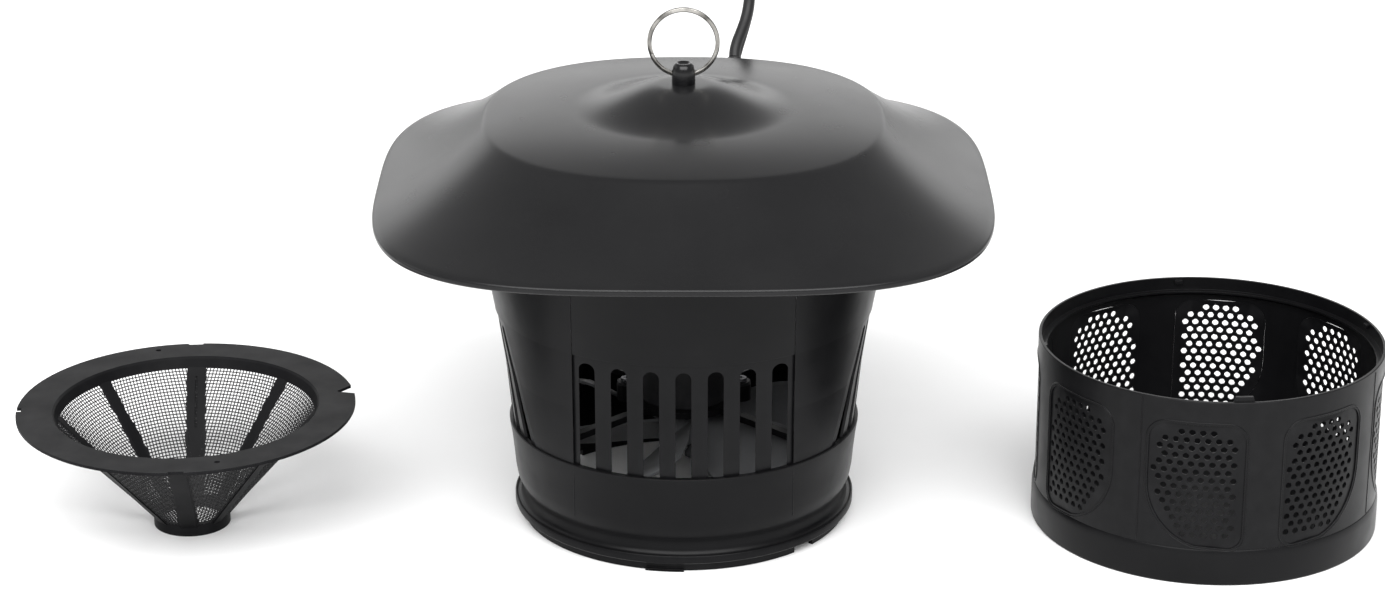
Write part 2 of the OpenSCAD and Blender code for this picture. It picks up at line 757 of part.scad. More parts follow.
board_t = 1.6;
board_l = 64;
board_w = 40;
board_gap = 5;            // height of the board's stand-offs
board_z = plate_z + plate_t + board_gap;
module driver_board() {
    color("#2f6b46")
    translate([0, board_y, 0]) {
        translate([-board_l / 2, -board_w / 2, board_z]) cube([board_l, board_w, board_t]);
        for (x = [-1, 1]) for (y = [-1, 1])
            translate([x * (board_l / 2 - 4), y * (board_w / 2 - 4), plate_z + plate_t])
                cylinder(r = 2.5, h = board_gap, $fn = 32);
    }
}

// Transformer, two capacitors and the terminal block
module board_parts() {
    color("#55504a")
    translate([0, board_y, board_z + board_t]) {
        translate([-28, -14, 0]) cube([18, 16, 12]);
        for (x = [-2, 10]) translate([x, -10, 0]) cylinder(r = 5, h = 11, $fn = 32);
        translate([0, 6, 0]) cube([26, 10, 8]);
    }
}

// Funnel ------------------------------------------------------------------------

flange_t = 1.6;
wedge_az = 104.2;
wedge_r = 81.5;           // how far in the wedge notch reaches
throat_h = 7;
cone_top_r = 68;
cone_top_z = funnel_h - 6;
mesh_t = 0.8;
flange_holes = [[18.8, 80], [198, 83.5]];   // azimuth and radius of the two small holes
wide_rib = 8.8;           // width of the front and rear ribs
narrow_rib = 5.6;         // and of the others
rib_az0 = 3;              // the first rib, from the front towards +X
function rib_w(k) = k % 4 == 0 ? wide_rib : narrow_rib;
rib_z0 = throat_h - 2;
rib_z1 = cone_top_z + 0.6;
function rib_in_r(z) = mix(throat_r - 1.9, cone_top_r + 0.1, (z - rib_z0) / (rib_z1 - rib_z0));
groove_z0 = 36;
groove_z1 = 58;

// Wedge notch at the flange's edge, its tip pointing inwards; the right-hand peg passes it
module flange_wedge() {
    rotate(from_front(wedge_az)) translate([0, 0, funnel_h - 4])
        linear_extrude(height = 6)
            polygon([[wedge_r, 0.6], [wedge_r, -0.6], [wedge_r + 14.5, -7.9], [wedge_r + 14.5, 11.2]]);
}

module edge_notch(az, w, depth) {
    rotate(from_front(az)) translate([flange_r - depth, -w / 2, funnel_h - 4]) cube([8, w, 6]);
}

module funnel_frame() {
    color("#353638")
    translate([funnel_x, funnel_y, 0]) {
        difference() {
            rotate_extrude() polygon([[flange_r, funnel_h], [flange_r, funnel_h - flange_t],
                [mouth_r + 2, funnel_h - flange_t], [cone_top_r + 2.2, cone_top_z], [cone_top_r, cone_top_z],
                [mouth_r - 1, funnel_h - 1], [mouth_r, funnel_h]]);
            flange_wedge();
            edge_notch(4, 8, 1.6);
            edge_notch(184, 8, 1.6);
            edge_notch(274, 5, 2.6);
            for (hole = flange_holes)
                rotate(from_front(hole[0])) translate([hole[1], 0, funnel_h - 4])
                    cylinder(r = 1.5, h = 6, $fn = 24);
        }
        rotate_extrude() translate([throat_r - 2, 0]) square([2, throat_h]);
        difference() {
            for (k = [0:rib_count - 1])
                rotate(from_front(rib_az0 + 360 * k / rib_count)) rotate([90, 0, 0])
                    translate([0, 0, -rib_w(k) / 2]) linear_extrude(height = rib_w(k))
                        polygon([for (z = [rib_z0, rib_z1]) [rib_in_r(z), z],
                            [cone_top_r + 2, rib_z1], [throat_r - 0.2, rib_z0]]);
            // narrow groove down the inside of the rear rib
            rotate(from_front(rib_az0 + 180)) rotate([90, 0, 0])
                translate([0, 0, -0.6]) linear_extrude(height = 1.2)
                    polygon([for (z = [groove_z0, groove_z1]) [rib_in_r(z) - 2, z],
                        for (z = [groove_z1, groove_z0]) [rib_in_r(z) + 0.8, z]]);
        }
    }
}

// The woven mesh is a plain thin cone here, cut away where the ribs hold it
module funnel_mesh() {
    gap = 0.05;
    color("#4a4b4d")
    translate([funnel_x, funnel_y, 0]) difference() {
        rotate_extrude() polygon([[throat_r - 0.9, throat_h], [throat_r + mesh_t - 0.9, throat_h],
            [cone_top_r + mesh_t + 0.4, cone_top_z - small], [cone_top_r + 0.4, cone_top_z - small]]);
        for (k = [0:rib_count - 1])
            rotate(from_front(rib_az0 + 360 * k / rib_count))
                translate([0, -rib_w(k) / 2 - gap, 0]) cube([90, rib_w(k) + 2 * gap, 90]);
    }
}

// Basket ------------------------------------------------------------------------

rim_inner_r = basket_r - basket_wall_t;
ledge_z1 = basket_h - ledge_below_rim;
window_mid = window_w / 2;

// Window outline, with one lower corner swept up; hand is 1 or -1
module window_outline(hand, margin) {
    w = window_mid - margin;
    z0 = window_z0 + margin;
    z1 = window_z1 - margin;
    big = window_swept_r - margin;
    small_r = window_foot_r - margin;
    top_r = window_top_r - margin;
    mirror([hand < 0 ? 1 : 0, 0]) polygon(concat(
        arc([w - small_r, z0 + small_r], small_r, -90, 0, 6),
        arc([w - top_r, z1 - top_r], top_r, 0, 90, 6),
        arc([-w + top_r, z1 - top_r], top_r, 90, 180, 6),
        arc([-w + big, z0 + big], big, 180, 255, 10)));
}

module window_block(k, margin) {
    hand = k % 2 == 0 ? 1 : -1;
    rotate(from_front(window_az0 + 360 * k / window_count)) rotate([90, 0, 90])
        translate([0, 0, 60]) linear_extrude(height = 50) window_outline(hand, margin);
}

module basket_wall() {
    color("#262729")
    translate([basket_x, basket_y, 0]) difference() {
        union() {
            rotate_extrude() polygon([[basket_r, 2], [basket_r, basket_h - 0.4], [basket_r - 0.4, basket_h],
                [rim_inner_r, basket_h], [rim_inner_r, ledge_z1], [rim_inner_r - ledge_in, ledge_z1],
                [rim_inner_r - ledge_in, ledge_z1 - 1.2], [rim_inner_r, ledge_z1 - 3], [rim_inner_r, 2]]);
            // pegs that the head's bayonet lugs turn under
            for (a = peg_az)
                rotate(from_front(a)) translate([rim_inner_r - 1.7, -peg_w / 2, ledge_z1 + 3.6])
                    cube([2.4, peg_w, 2]);
            // front tab, proud of the rim
            rotate(from_front(tab_az)) translate([rim_inner_r - 1.8, 0, basket_h - 3]) rotate([90, 0, 90])
                linear_extrude(height = tab_t)
                    polygon([[-tab_w / 2, 0], [tab_w / 2, 0],
                        [tab_w / 2 - 2, tab_h], [2 - tab_w / 2, tab_h]]);
        }
        for (k = [0:window_count - 1]) window_block(k, 0);
    }
}

// Tray with the floor, pushed over the wall's foot
module basket_tray() {
    color("#2b2c2e")
    translate([basket_x, basket_y, 0]) rotate_extrude() polygon([[0, 0], [basket_r + tray_t - 1, 0],
        [basket_r + tray_t, 1], [basket_r + tray_t, tray_h - 0.5], [basket_r + tray_t - 0.4, tray_h],
        [basket_r, tray_h], [basket_r, 2], [0, 2]]);
}

// The perforated screens, as plain curved plates set back in the windows
module basket_screens() {
    color("#202123")
    translate([basket_x, basket_y, 0]) for (k = [0:window_count - 1])
        intersection() {
            rotate_extrude() translate([rim_inner_r + 0.1, window_z0])
                square([screen_t, window_z1 - window_z0]);
            window_block(k, 0.02);
        }
}

roof_canopy();
hanging_post();
hanging_ring();
post_washer();
post_nut();
strain_relief();
inner_lead();
cord_tube();
cord_coil();
cord_tail();
plug_body();
plug_pins();
upper_housing();
front_grille();
rear_grille();
left_grille();
right_grille();
roof_screws();
lower_housing();
motor_mount();
mount_screws();
fan_motor();
motor_screws();
motor_lead();
motor_shaft();
fan_rotor();
fan_nut();
lamp_plate();
plate_screws();
lamp_holder_left();
lamp_holder_right();
uv_lamp_left();
uv_lamp_right();
driver_board();
board_parts();
funnel_frame();
funnel_mesh();
basket_wall();
basket_tray();
basket_screens();
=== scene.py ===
"""Looks of the fan-suction insect trap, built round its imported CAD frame.

Lengths in the tables and in the mesh code are in millimetres; MM turns them into metres.
Azimuths are measured from the front (-Y) and grow towards +X.
"""

import math
import random

import bmesh
import bpy
from mathutils import Matrix, Vector
from mathutils.geometry import delaunay_2d_cdt


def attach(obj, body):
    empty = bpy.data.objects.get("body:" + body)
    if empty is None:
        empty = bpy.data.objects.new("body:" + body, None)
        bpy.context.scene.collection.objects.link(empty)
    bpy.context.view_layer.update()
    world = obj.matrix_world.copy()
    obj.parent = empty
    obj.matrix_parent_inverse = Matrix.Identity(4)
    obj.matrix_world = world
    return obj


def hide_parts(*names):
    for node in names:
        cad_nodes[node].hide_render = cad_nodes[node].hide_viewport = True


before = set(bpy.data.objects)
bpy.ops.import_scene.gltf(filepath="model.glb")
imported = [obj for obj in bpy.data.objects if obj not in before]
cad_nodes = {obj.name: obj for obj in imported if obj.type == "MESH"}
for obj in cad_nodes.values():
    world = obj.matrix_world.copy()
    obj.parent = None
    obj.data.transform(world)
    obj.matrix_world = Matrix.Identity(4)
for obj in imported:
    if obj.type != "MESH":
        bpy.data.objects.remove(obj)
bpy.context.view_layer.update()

MM = 0.001
HEAD, FAN, RING, FUNNEL, BASKET = "head", "fan", "ring", "funnel", "basket"


# Camera, light and floor -------------------------------------------------------


def link(obj):
    bpy.context.scene.collection.objects.link(obj)
    return obj


CAMERA_LENS, CAMERA_SENSOR = 93.57, 36
CAMERA_AT, CAMERA_DIP = (0.00468, -1.8025, 0.80915), 20.92  # metres, and degrees below level


def make_camera():
    data = bpy.data.cameras.new("view_camera")
    data.lens = CAMERA_LENS
    data.sensor_width = CAMERA_SENSOR
    data.clip_end = 30
    camera = link(bpy.data.objects.new("view_camera", data))
    camera.location = CAMERA_AT
    camera.rotation_euler = (math.radians(90 - CAMERA_DIP), 0, 0)
    bpy.context.scene.camera = camera


def area_light(name, place, target, size, power):
    data = bpy.data.lights.new(name, "AREA")
    data.shape = "RECTANGLE"
    data.size, data.size_y = size
    data.energy = power
    light = link(bpy.data.objects.new(name, data))
    light.location = place
    light.rotation_euler = (Vector(target) - Vector(place)).to_track_quat("-Z", "Y").to_euler()
    return light


def make_studio():
    """White surroundings, a broad front light and three weak ones behind and beside."""
    scene = bpy.context.scene
    scene.view_settings.view_transform = "Standard"
    world = bpy.data.worlds.new("studio")
    world.use_nodes = True
    background = world.node_tree.nodes["Background"]
    background.inputs["Color"].default_value = (1, 1, 1, 1)
    background.inputs["Strength"].default_value = 0.6
    scene.world = world
    area_light("front_light", (0, -2.6, 2.8), (0, 0, 0), (5.0, 3.0), 300)
    area_light("back_light", (-0.3, 2.6, 0.85), (0, 0, 0.15), (4.4, 1.0), 18)
    area_light("left_light", (-2.8, 0.6, 1.5), (0, 0, 0.1), (1.6, 1.4), 9)
    area_light("right_light", (2.9, 0.9, 1.2), (0, 0, 0.1), (1.4, 1.2), 5)


def make_floor():
    """Plain pale floor, which isn't part of the object."""
    half = 6.0
    mesh = bpy.data.meshes.new("floor")
    corners = [(-half, -half, 0), (half, -half, 0), (half, half, 0), (-half, half, 0)]
    mesh.from_pydata(corners, [], [(0, 1, 2, 3)])
    floor = link(bpy.data.objects.new("floor", mesh))
    material, tree, shader = new_material("floor_paper")
    mottle = noise(tree, 9, 3)
    ramp(tree, mottle, shader.inputs["Base Color"], (0.90, 0.90, 0.90), (0.93, 0.93, 0.93))
    shader.inputs["Roughness"].default_value = 0.9
    mesh.materials.append(material)


# Material parts ------------------------------------------------------------------


def new_material(name):
    material = bpy.data.materials.new(name)
    material.use_nodes = True
    tree = material.node_tree
    shader = tree.nodes["Principled BSDF"]
    return material, tree, shader


def noise(tree, scale, detail=2.0, stretch=None):
    """Noise over the object's own coordinates, scale in lumps per metre."""
    place = tree.nodes.new("ShaderNodeTexCoord")
    source = place.outputs["Object"]
    if stretch:
        mapping = tree.nodes.new("ShaderNodeMapping")
        mapping.inputs["Scale"].default_value = stretch
        tree.links.new(source, mapping.inputs["Vector"])
        source = mapping.outputs["Vector"]
    node = tree.nodes.new("ShaderNodeTexNoise")
    node.inputs["Scale"].default_value = scale
    node.inputs["Detail"].default_value = detail
    tree.links.new(source, node.inputs["Vector"])
    return node.outputs["Fac"]


def ramp(tree, source, target, low, high, start=0.3, end=0.7):
    """Maps a 0 to 1 value to a colour between low and high, and links it to target."""
    node = tree.nodes.new("ShaderNodeValToRGB")
    for element, colour, place in zip(node.color_ramp.elements, (low, high), (start, end)):
        element.color = (*colour, 1)
        element.position = place
    tree.links.new(source, node.inputs["Fac"])
    if target is not None:
        tree.links.new(node.outputs["Color"], target)
    return node.outputs["Color"]


def spread(tree, source, target, low, high):
    """Maps a noise value to the range low to high, and links it to target."""
    node = tree.nodes.new("ShaderNodeMapRange")
    node.inputs["From Min"].default_value = 0.3
    node.inputs["From Max"].default_value = 0.7
    node.inputs["To Min"].default_value = low
    node.inputs["To Max"].default_value = high
    tree.links.new(source, node.inputs["Value"])
    if target is not None:
        tree.links.new(node.outputs["Result"], target)
    return node.outputs["Result"]


def bump(tree, shader, source, depth_mm, strength=1.0, soft_edge_mm=0.0):
    """Raises the surface by a value, on normals that are rounded at sharp edges."""
    node = tree.nodes.new("ShaderNodeBump")
    node.inputs["Strength"].default_value = strength
    node.inputs["Distance"].default_value = depth_mm * MM
    tree.links.new(source, node.inputs["Height"])
    if soft_edge_mm:
        edge = tree.nodes.new("ShaderNodeBevel")
        edge.samples = 4
        edge.inputs["Radius"].default_value = soft_edge_mm * MM
        tree.links.new(edge.outputs["Normal"], node.inputs["Normal"])
    tree.links.new(node.outputs["Normal"], shader.inputs["Normal"])


def mixed(tree, factor, first, second):
    """Colour between two colours; first may be a socket or a plain colour."""
    node = tree.nodes.new("ShaderNodeMix")
    node.data_type = "RGBA"
    tree.links.new(factor, node.inputs["Factor"])
    for socket, value in ((node.inputs[6], first), (node.inputs[7], second)):
        if isinstance(value, tuple):
            socket.default_value = (*value, 1)
        else:
            tree.links.new(value, socket)
    return node.outputs[2]


def dust_mask(tree, amount):
    """Thin uneven dust on faces that look up."""
    geometry = tree.nodes.new("ShaderNodeNewGeometry")
    axis = tree.nodes.new("ShaderNodeSeparateXYZ")
    tree.links.new(geometry.outputs["Normal"], axis.inputs["Vector"])
    up = tree.nodes.new("ShaderNodeMapRange")
    up.inputs["From Min"].default_value = 0.4
    up.inputs["From Max"].default_value = 1.0
    up.inputs["To Max"].default_value = amount
    tree.links.new(axis.outputs["Z"], up.inputs["Value"])
    speck = spread(tree, noise(tree, 420, 4), None, 0.2, 1.0)
    product = tree.nodes.new("ShaderNodeMath")
    product.operation = "MULTIPLY"
    tree.links.new(up.outputs["Result"], product.inputs[0])
    tree.links.new(speck, product.inputs[1])
    return product.outputs["Value"]


def edge_mask(tree, amount):
    """Rubbed convex edges, broken up by noise."""
    geometry = tree.nodes.new("ShaderNodeNewGeometry")
    sharp = tree.nodes.new("ShaderNodeMapRange")
    sharp.inputs["From Min"].default_value = 0.52
    sharp.inputs["From Max"].default_value = 0.62
    sharp.inputs["To Max"].default_value = amount
    tree.links.new(geometry.outputs["Pointiness"], sharp.inputs["Value"])
    broken = spread(tree, noise(tree, 160, 3), None, 0.1, 1.0)
    product = tree.nodes.new("ShaderNodeMath")
    product.operation = "MULTIPLY"
    tree.links.new(sharp.outputs["Result"], product.inputs[0])
    tree.links.new(broken, product.inputs[1])
    return product.outputs["Value"]


def plastic(name, dark, light, rough, grain_mm, dust, wear, soft_edge_mm=0.0, gloss=0.2, coat=0.0):
    """Moulded plastic: mottled colour, dust above, rubbed edges, fine moulding grain."""
    material, tree, shader = new_material(name)
    colour = ramp(tree, noise(tree, 24, 4), None, dark, light)
    worn = tuple(min(1.0, 3.2 * c + 0.015) for c in light)
    colour = mixed(tree, edge_mask(tree, wear), colour, worn)
    colour = mixed(tree, dust_mask(tree, dust), colour, (0.42, 0.41, 0.39))
    tree.links.new(colour, shader.inputs["Base Color"])
    spread(tree, noise(tree, 60, 5), shader.inputs["Roughness"], *rough)
    shader.inputs["Specular IOR Level"].default_value = gloss
    shader.inputs["Coat Weight"].default_value = coat
    shader.inputs["Coat Roughness"].default_value = 0.12
    bump(tree, shader, noise(tree, 1500, 2), grain_mm, 1.0, soft_edge_mm)
    return material


def metal(name, dark, light, rough, stretch=None, soft_edge_mm=0.0):
    """Plated or ground metal, its roughness drawn out along one way by stretch."""
    material, tree, shader = new_material(name)
    ramp(tree, noise(tree, 130, 4), shader.inputs["Base Color"], dark, light)
    shader.inputs["Metallic"].default_value = 1.0
    spread(tree, noise(tree, 260, 4, stretch), shader.inputs["Roughness"], *rough)
    bump(tree, shader, noise(tree, 900, 3, stretch), 0.01, 1.0, soft_edge_mm)
    return material


# Plastics and paints: slot, then name, dark and light colour, roughness, grain in mm, dust, wear,
# rounding of sharp edges in mm, gloss and clear coat
PLASTICS = {
    "roof": ("roof_plastic", (0.0065, 0.0065, 0.007), (0.0085, 0.0085, 0.009),
             (0.255, 0.275), 0.002, 0.002, 0.02, 0.0, 0.2, 0.0),
    "post": ("post_plastic", (0.003, 0.003, 0.0035), (0.005, 0.005, 0.0055),
             (0.16, 0.24), 0.006, 0.004, 0.15, 0.0, 0.3, 0.0),
    "housing": ("housing_plastic", (0.0022, 0.0022, 0.0026), (0.0036, 0.0036, 0.0041),
                (0.30, 0.40), 0.012, 0.006, 0.12, 0.35, 0.12, 0.0),
    "grille": ("grille_plastic", (0.0022, 0.0023, 0.0027), (0.0038, 0.0038, 0.0043),
               (0.28, 0.38), 0.012, 0.006, 0.12, 0.35, 0.13, 0.0),
    "fan_plastic": ("fan_plastic", (0.085, 0.087, 0.091), (0.11, 0.112, 0.116),
                    (0.38, 0.5), 0.015, 0.03, 0.2, 0.3, 0.3, 0.0),
    "motor": ("motor_paint", (0.006, 0.006, 0.007), (0.011, 0.011, 0.012),
              (0.35, 0.5), 0.02, 0.02, 0.3, 0.3, 0.2, 0.0),
    "plate": ("white_paint", (0.55, 0.55, 0.53), (0.64, 0.64, 0.62),
              (0.35, 0.5), 0.02, 0.3, 0.1, 0.3, 0.4, 0.0),
    "lamp_base": ("lamp_plastic", (0.62, 0.60, 0.55), (0.72, 0.70, 0.65),
                  (0.35, 0.5), 0.02, 0.2, 0.1, 0.3, 0.4, 0.0),
    "lamp_glass": ("lamp_glass", (0.50, 0.48, 0.66), (0.60, 0.57, 0.76),
                   (0.08, 0.14), 0.004, 0.1, 0.0, 0.0, 0.5, 0.6),
    "board": ("board_green", (0.030, 0.16, 0.075), (0.045, 0.21, 0.10),
              (0.3, 0.45), 0.03, 0.3, 0.1, 0.2, 0.4, 0.0),
    "components": ("components", (0.030, 0.028, 0.026), (0.10, 0.085, 0.06),
                   (0.3, 0.5), 0.03, 0.3, 0.2, 0.2, 0.4, 0.0),
    "cord": ("cord_sheath", (0.006, 0.006, 0.0065), (0.010, 0.010, 0.0105),
             (0.42, 0.55), 0.02, 0.02, 0.0, 0.0, 0.3, 0.0),
    "plug": ("plug_rubber", (0.006, 0.006, 0.0065), (0.010, 0.010, 0.0105),
             (0.45, 0.6), 0.03, 0.03, 0.1, 0.0, 0.3, 0.0),
    "wires": ("wire_insulation", (0.012, 0.012, 0.013), (0.02, 0.02, 0.022),
              (0.4, 0.55), 0.02, 0.05, 0.0, 0.0, 0.3, 0.0),
    "funnel_plastic": ("funnel_plastic", (0.0042, 0.0042, 0.0048), (0.0068, 0.0068, 0.0075),
                       (0.42, 0.52), 0.012, 0.004, 0.12, 0.3, 0.06, 0.0),
    "mesh": ("mesh_thread", (0.006, 0.006, 0.0065), (0.011, 0.011, 0.012),
             (0.4, 0.55), 0.004, 0.0, 0.0, 0.0, 0.25, 0.0),
    "basket_plastic": ("basket_plastic", (0.0024, 0.0024, 0.0028), (0.004, 0.004, 0.0045),
                       (0.28, 0.4), 0.012, 0.006, 0.12, 0.35, 0.14, 0.0),
    "screen": ("screen_paint", (0.0022, 0.0022, 0.0026), (0.004, 0.004, 0.0045),
               (0.3, 0.42), 0.012, 0.006, 0.2, 0.0, 0.13, 0.0),
}
# Metals: slot, then name, dark and light colour, roughness, stretch of the grain, edge rounding in mm
METALS = {
    "nickel": ("nickel_plate", (0.05, 0.048, 0.044), (0.36, 0.35, 0.33), (0.06, 0.14), (1, 6, 1), 0.0),
    "zinc": ("zinc_plate", (0.10, 0.10, 0.11), (0.20, 0.20, 0.21), (0.25, 0.4), None, 0.15),
    "shaft_steel": ("ground_steel", (0.48, 0.48, 0.48), (0.66, 0.66, 0.66), (0.18, 0.3), (1, 1, 12), 0.1),
    "pins": ("pin_plate", (0.62, 0.58, 0.50), (0.76, 0.73, 0.66), (0.18, 0.3), (8, 1, 1), 0.2),
}


def make_materials():
    made = {slot: plastic(*look) for slot, look in PLASTICS.items()}
    made.update({slot: metal(*look) for slot, look in METALS.items()})
    return made


# Mesh parts ----------------------------------------------------------------------


def build(name, verts, faces, body, slot, replaces=(), smooth=32, weld=0.0005):
    """Makes a piece from millimetre points, rides it on a body and gives it its material."""
    bm = bmesh.new()
    for v in verts:
        bm.verts.new(Vector(v) * MM)
    bm.verts.ensure_lookup_table()
    for f in faces:
        try:
            bm.faces.new([bm.verts[i] for i in f])
        except ValueError:
            pass
    if weld:
        bmesh.ops.remove_doubles(bm, verts=bm.verts, dist=weld * MM)
    bmesh.ops.dissolve_degenerate(bm, dist=1e-7, edges=bm.edges)
    bmesh.ops.recalc_face_normals(bm, faces=bm.faces)
    mesh = bpy.data.meshes.new(name)
    bm.to_mesh(mesh)
    bm.free()
    return place_mesh(name, mesh, body, slot, replaces, smooth)


def place_mesh(name, mesh, body, slot, replaces=(), smooth=32):
    mesh.shade_smooth()
    mesh.set_sharp_from_angle(angle=math.radians(smooth))
    mesh.materials.append(materials[slot])
    piece = link(bpy.data.objects.new(name, mesh))
    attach(piece, body)
    if replaces:
        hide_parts(*replaces)
    return piece


def apply_modifiers(piece):
    """Bakes the piece's modifiers into its mesh."""
    graph = bpy.context.evaluated_depsgraph_get()
    mesh = bpy.data.meshes.new_from_object(piece.evaluated_get(graph))
    piece.modifiers.clear()
    piece.data = mesh


def arc(centre, radius, start, end, steps):
    """Points of an arc, angles in degrees."""
    return [
        (
            centre[0] + radius * math.cos(math.radians(start + (end - start) * i / steps)),
            centre[1] + radius * math.sin(math.radians(start + (end - start) * i / steps)),
        )
        for i in range(steps + 1)
    ]


def rounded(points, radius, steps=3, closed=True):
    """The outline with each corner rounded; radius is a number or one number per corner."""
    radii = radius if isinstance(radius, (list, tuple)) else [radius] * len(points)
    out = []
    count = len(points)
    for i, point in enumerate(points):
        p = Vector(point)
        if not closed and i in (0, count - 1) or radii[i] <= 0:
            out.append(tuple(p))
            continue
        before = Vector(points[i - 1]) - p
        after = Vector(points[(i + 1) % count]) - p
        angle = before.angle(after)
        if angle > math.radians(176):
            out.append(tuple(p))
            continue
        reach = min(radii[i] / math.tan(angle / 2), 0.49 * before.length, 0.49 * after.length)
        a = p + before.normalized() * reach
        b = p + after.normalized() * reach
        for k in range(steps + 1):
            t = k / steps
            out.append(tuple((1 - t) ** 2 * a + 2 * t * (1 - t) * p + t**2 * b))
    return out


def lathe(outline, steps=144, centre=(0, 0), closed=True):
    """Turns an (r, z) outline about a vertical axis. Returns points and faces."""
    count = len(outline)
    verts = []
    for i in range(steps):
        a = 2 * math.pi * i / steps
        verts += [(centre[0] + r * math.sin(a), centre[1] - r * math.cos(a), z) for r, z in outline]
    faces = []
    for i in range(steps):
        j = (i + 1) % steps
        for k in range(count if closed else count - 1):
            m = (k + 1) % count
            faces.append((i * count + k, j * count + k, j * count + m, i * count + m))
    return verts, faces


def merged(*parts):
    """Joins several (points, faces) pairs into one."""
    verts, faces = [], []
    for more_verts, more_faces in parts:
        base = len(verts)
        verts += more_verts
        faces += [tuple(i + base for i in f) for f in more_faces]
    return verts, faces


def moved(part, matrix):
    return [tuple(matrix @ Vector(v)) for v in part[0]], part[1]


def tube(path, radius, sides=8, closed=False):
    """Round tube along a list of points; radius is a number or one per point."""
    radii = radius if isinstance(radius, (list, tuple)) else [radius] * len(path)
    points = [Vector(p) for p in path]
    count = len(points)
    verts, faces = [], []
    normal = None
    for i, p in enumerate(points):
        a = points[i - 1] if (i or closed) else p
        b = points[(i + 1) % count] if (i < count - 1 or closed) else p
        heading = (b - a).normalized()
        if normal is None:
            normal = heading.orthogonal().normalized()
        normal = (normal - heading * normal.dot(heading)).normalized()
        other = heading.cross(normal)
        for k in range(sides):
            turn = 2 * math.pi * k / sides
            verts.append(tuple(p + radii[i] * (math.cos(turn) * normal + math.sin(turn) * other)))
    for i in range(count if closed else count - 1):
        j = (i + 1) % count
        for k in range(sides):
            m = (k + 1) % sides
            faces.append((i * sides + k, i * sides + m, j * sides + m, j * sides + k))
    if not closed:
        faces.append(tuple(range(sides)))
        faces.append(tuple((count - 1) * sides + k for k in range(sides - 1, -1, -1)))
    return verts, faces


def skin(rings, closed_loop=False, capped=False):
    """Faces through rings that have the same number of points."""
    count = len(rings[0])
    verts = [p for ring in rings for p in ring]
    faces = []
    total = len(rings)
    for j in range(total if closed_loop else total - 1):
        nxt = (j + 1) % total
        for i in range(count):
            k = (i + 1) % count
            faces.append((j * count + i, j * count + k, nxt * count + k, nxt * count + i))
    if capped:
        faces.append(tuple(range(count - 1, -1, -1)))
        faces.append(tuple((total - 1) * count + i for i in range(count)))
    return verts, faces


# Cord ------------------------------------------------------------------------------

CORD_D = 6.4
RELIEF_TIP = (28.4, 144.6, 209.7)
RELIEF_LEAN = 31
CORD_ROUTE = [
    (28.4, 144.8, 210), (28.7, 146.7, 213.1), (29.9, 149, 217.4), (31.8, 151, 221.9),
    (33.6, 152.8, 226.3), (35.1, 154.9, 230.7), (36.2, 157.6, 235.2), (36.9, 161.6, 239.8),
    (37.3, 168.4, 244.9), (37.5, 177, 247.4), (37.6, 186.5, 246.7), (37.7, 195, 243.2),
    (37.8, 202, 237), (37.8, 206.5, 228.8), (37.2, 208.3, 219.5), (35.4, 208.3, 211),
    (33.2, 208.3, 203), (30.9, 208.3, 195), (28.9, 208.3, 187), (27.4, 208.2, 178),
    (26.5, 208, 165), (26, 207.5, 150), (26, 206.5, 130), (26, 205.5, 110), (26, 205, 90),
    (26, 205, 70), (26, 205, 50), (26, 204.2, 36), (26, 201.5, 25), (26, 196.5, 15.5),
    (26, 189, 8.2), (26, 180, 4.4), (26, 170, 3.3), (26, 158, 3.3),
]
TAIL_ROUTE = [
    (-60.1, 154, 8.9), (-60.4, 162, 6.6), (-60.9, 170, 4.4), (-61.5, 178, 3.4), (-62, 186.4, 3.3),
    (-60, 196.2, 3.7), (-54.5, 204.5, 4.9), (-46.2, 210, 6.3), (-40, 211.8, 6.9), (-36.4, 212, 7),
]
COIL_CENTRE = (-17, 145)
COIL_OUT = 43
COIL_PITCH = 6.5
COIL_LAYER_TURNS = 3.25
COIL_LOW, COIL_HIGH = 3.3, 9.7
PLUG_AT = (-36, 212, 7)


def smoothstep(t):
    t = min(max(t, 0), 1)
    return t * t * (3 - 2 * t)


def coil_route():
    """Two flat layers of turns: inwards on the surface, then outwards on top."""
    points = []
    per_turn = 16
    turns = 2 * COIL_LAYER_TURNS
    inner = COIL_OUT - COIL_PITCH * COIL_LAYER_TURNS
    for i in range(int(turns * per_turn) + 1):
        t = i / per_turn
        radius = COIL_OUT - COIL_PITCH * t
        if t > COIL_LAYER_TURNS:
            radius = inner + COIL_PITCH * (t - COIL_LAYER_TURNS)
        lift = smoothstep((t - COIL_LAYER_TURNS + 0.2) / 0.4)
        height = COIL_LOW + (COIL_HIGH - COIL_LOW) * lift
        turn = -2 * math.pi * t
        x = COIL_CENTRE[0] + radius * math.cos(turn)
        y = COIL_CENTRE[1] + radius * math.sin(turn)
        points.append((x, y, height))
    return points


def make_cord():
    """The mains cord: the climb and fall behind the roof, the coil, and the end at the plug."""
    points = CORD_ROUTE + coil_route() + TAIL_ROUTE
    curve = bpy.data.curves.new("mains_cord", "CURVE")
    curve.dimensions = "3D"
    curve.bevel_depth = CORD_D / 2 * MM
    curve.bevel_resolution = 5
    curve.resolution_u = 6
    curve.use_fill_caps = True
    spline = curve.splines.new("BEZIER")
    spline.bezier_points.add(len(points) - 1)
    for knot, point in zip(spline.bezier_points, points):
        knot.co = Vector(point) * MM
        knot.handle_left_type = knot.handle_right_type = "AUTO"
    curve.materials.append(materials["cord"])
    cord = link(bpy.data.objects.new("mains_cord", curve))
    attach(cord, HEAD)
    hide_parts("cord_tube", "cord_coil", "cord_tail")


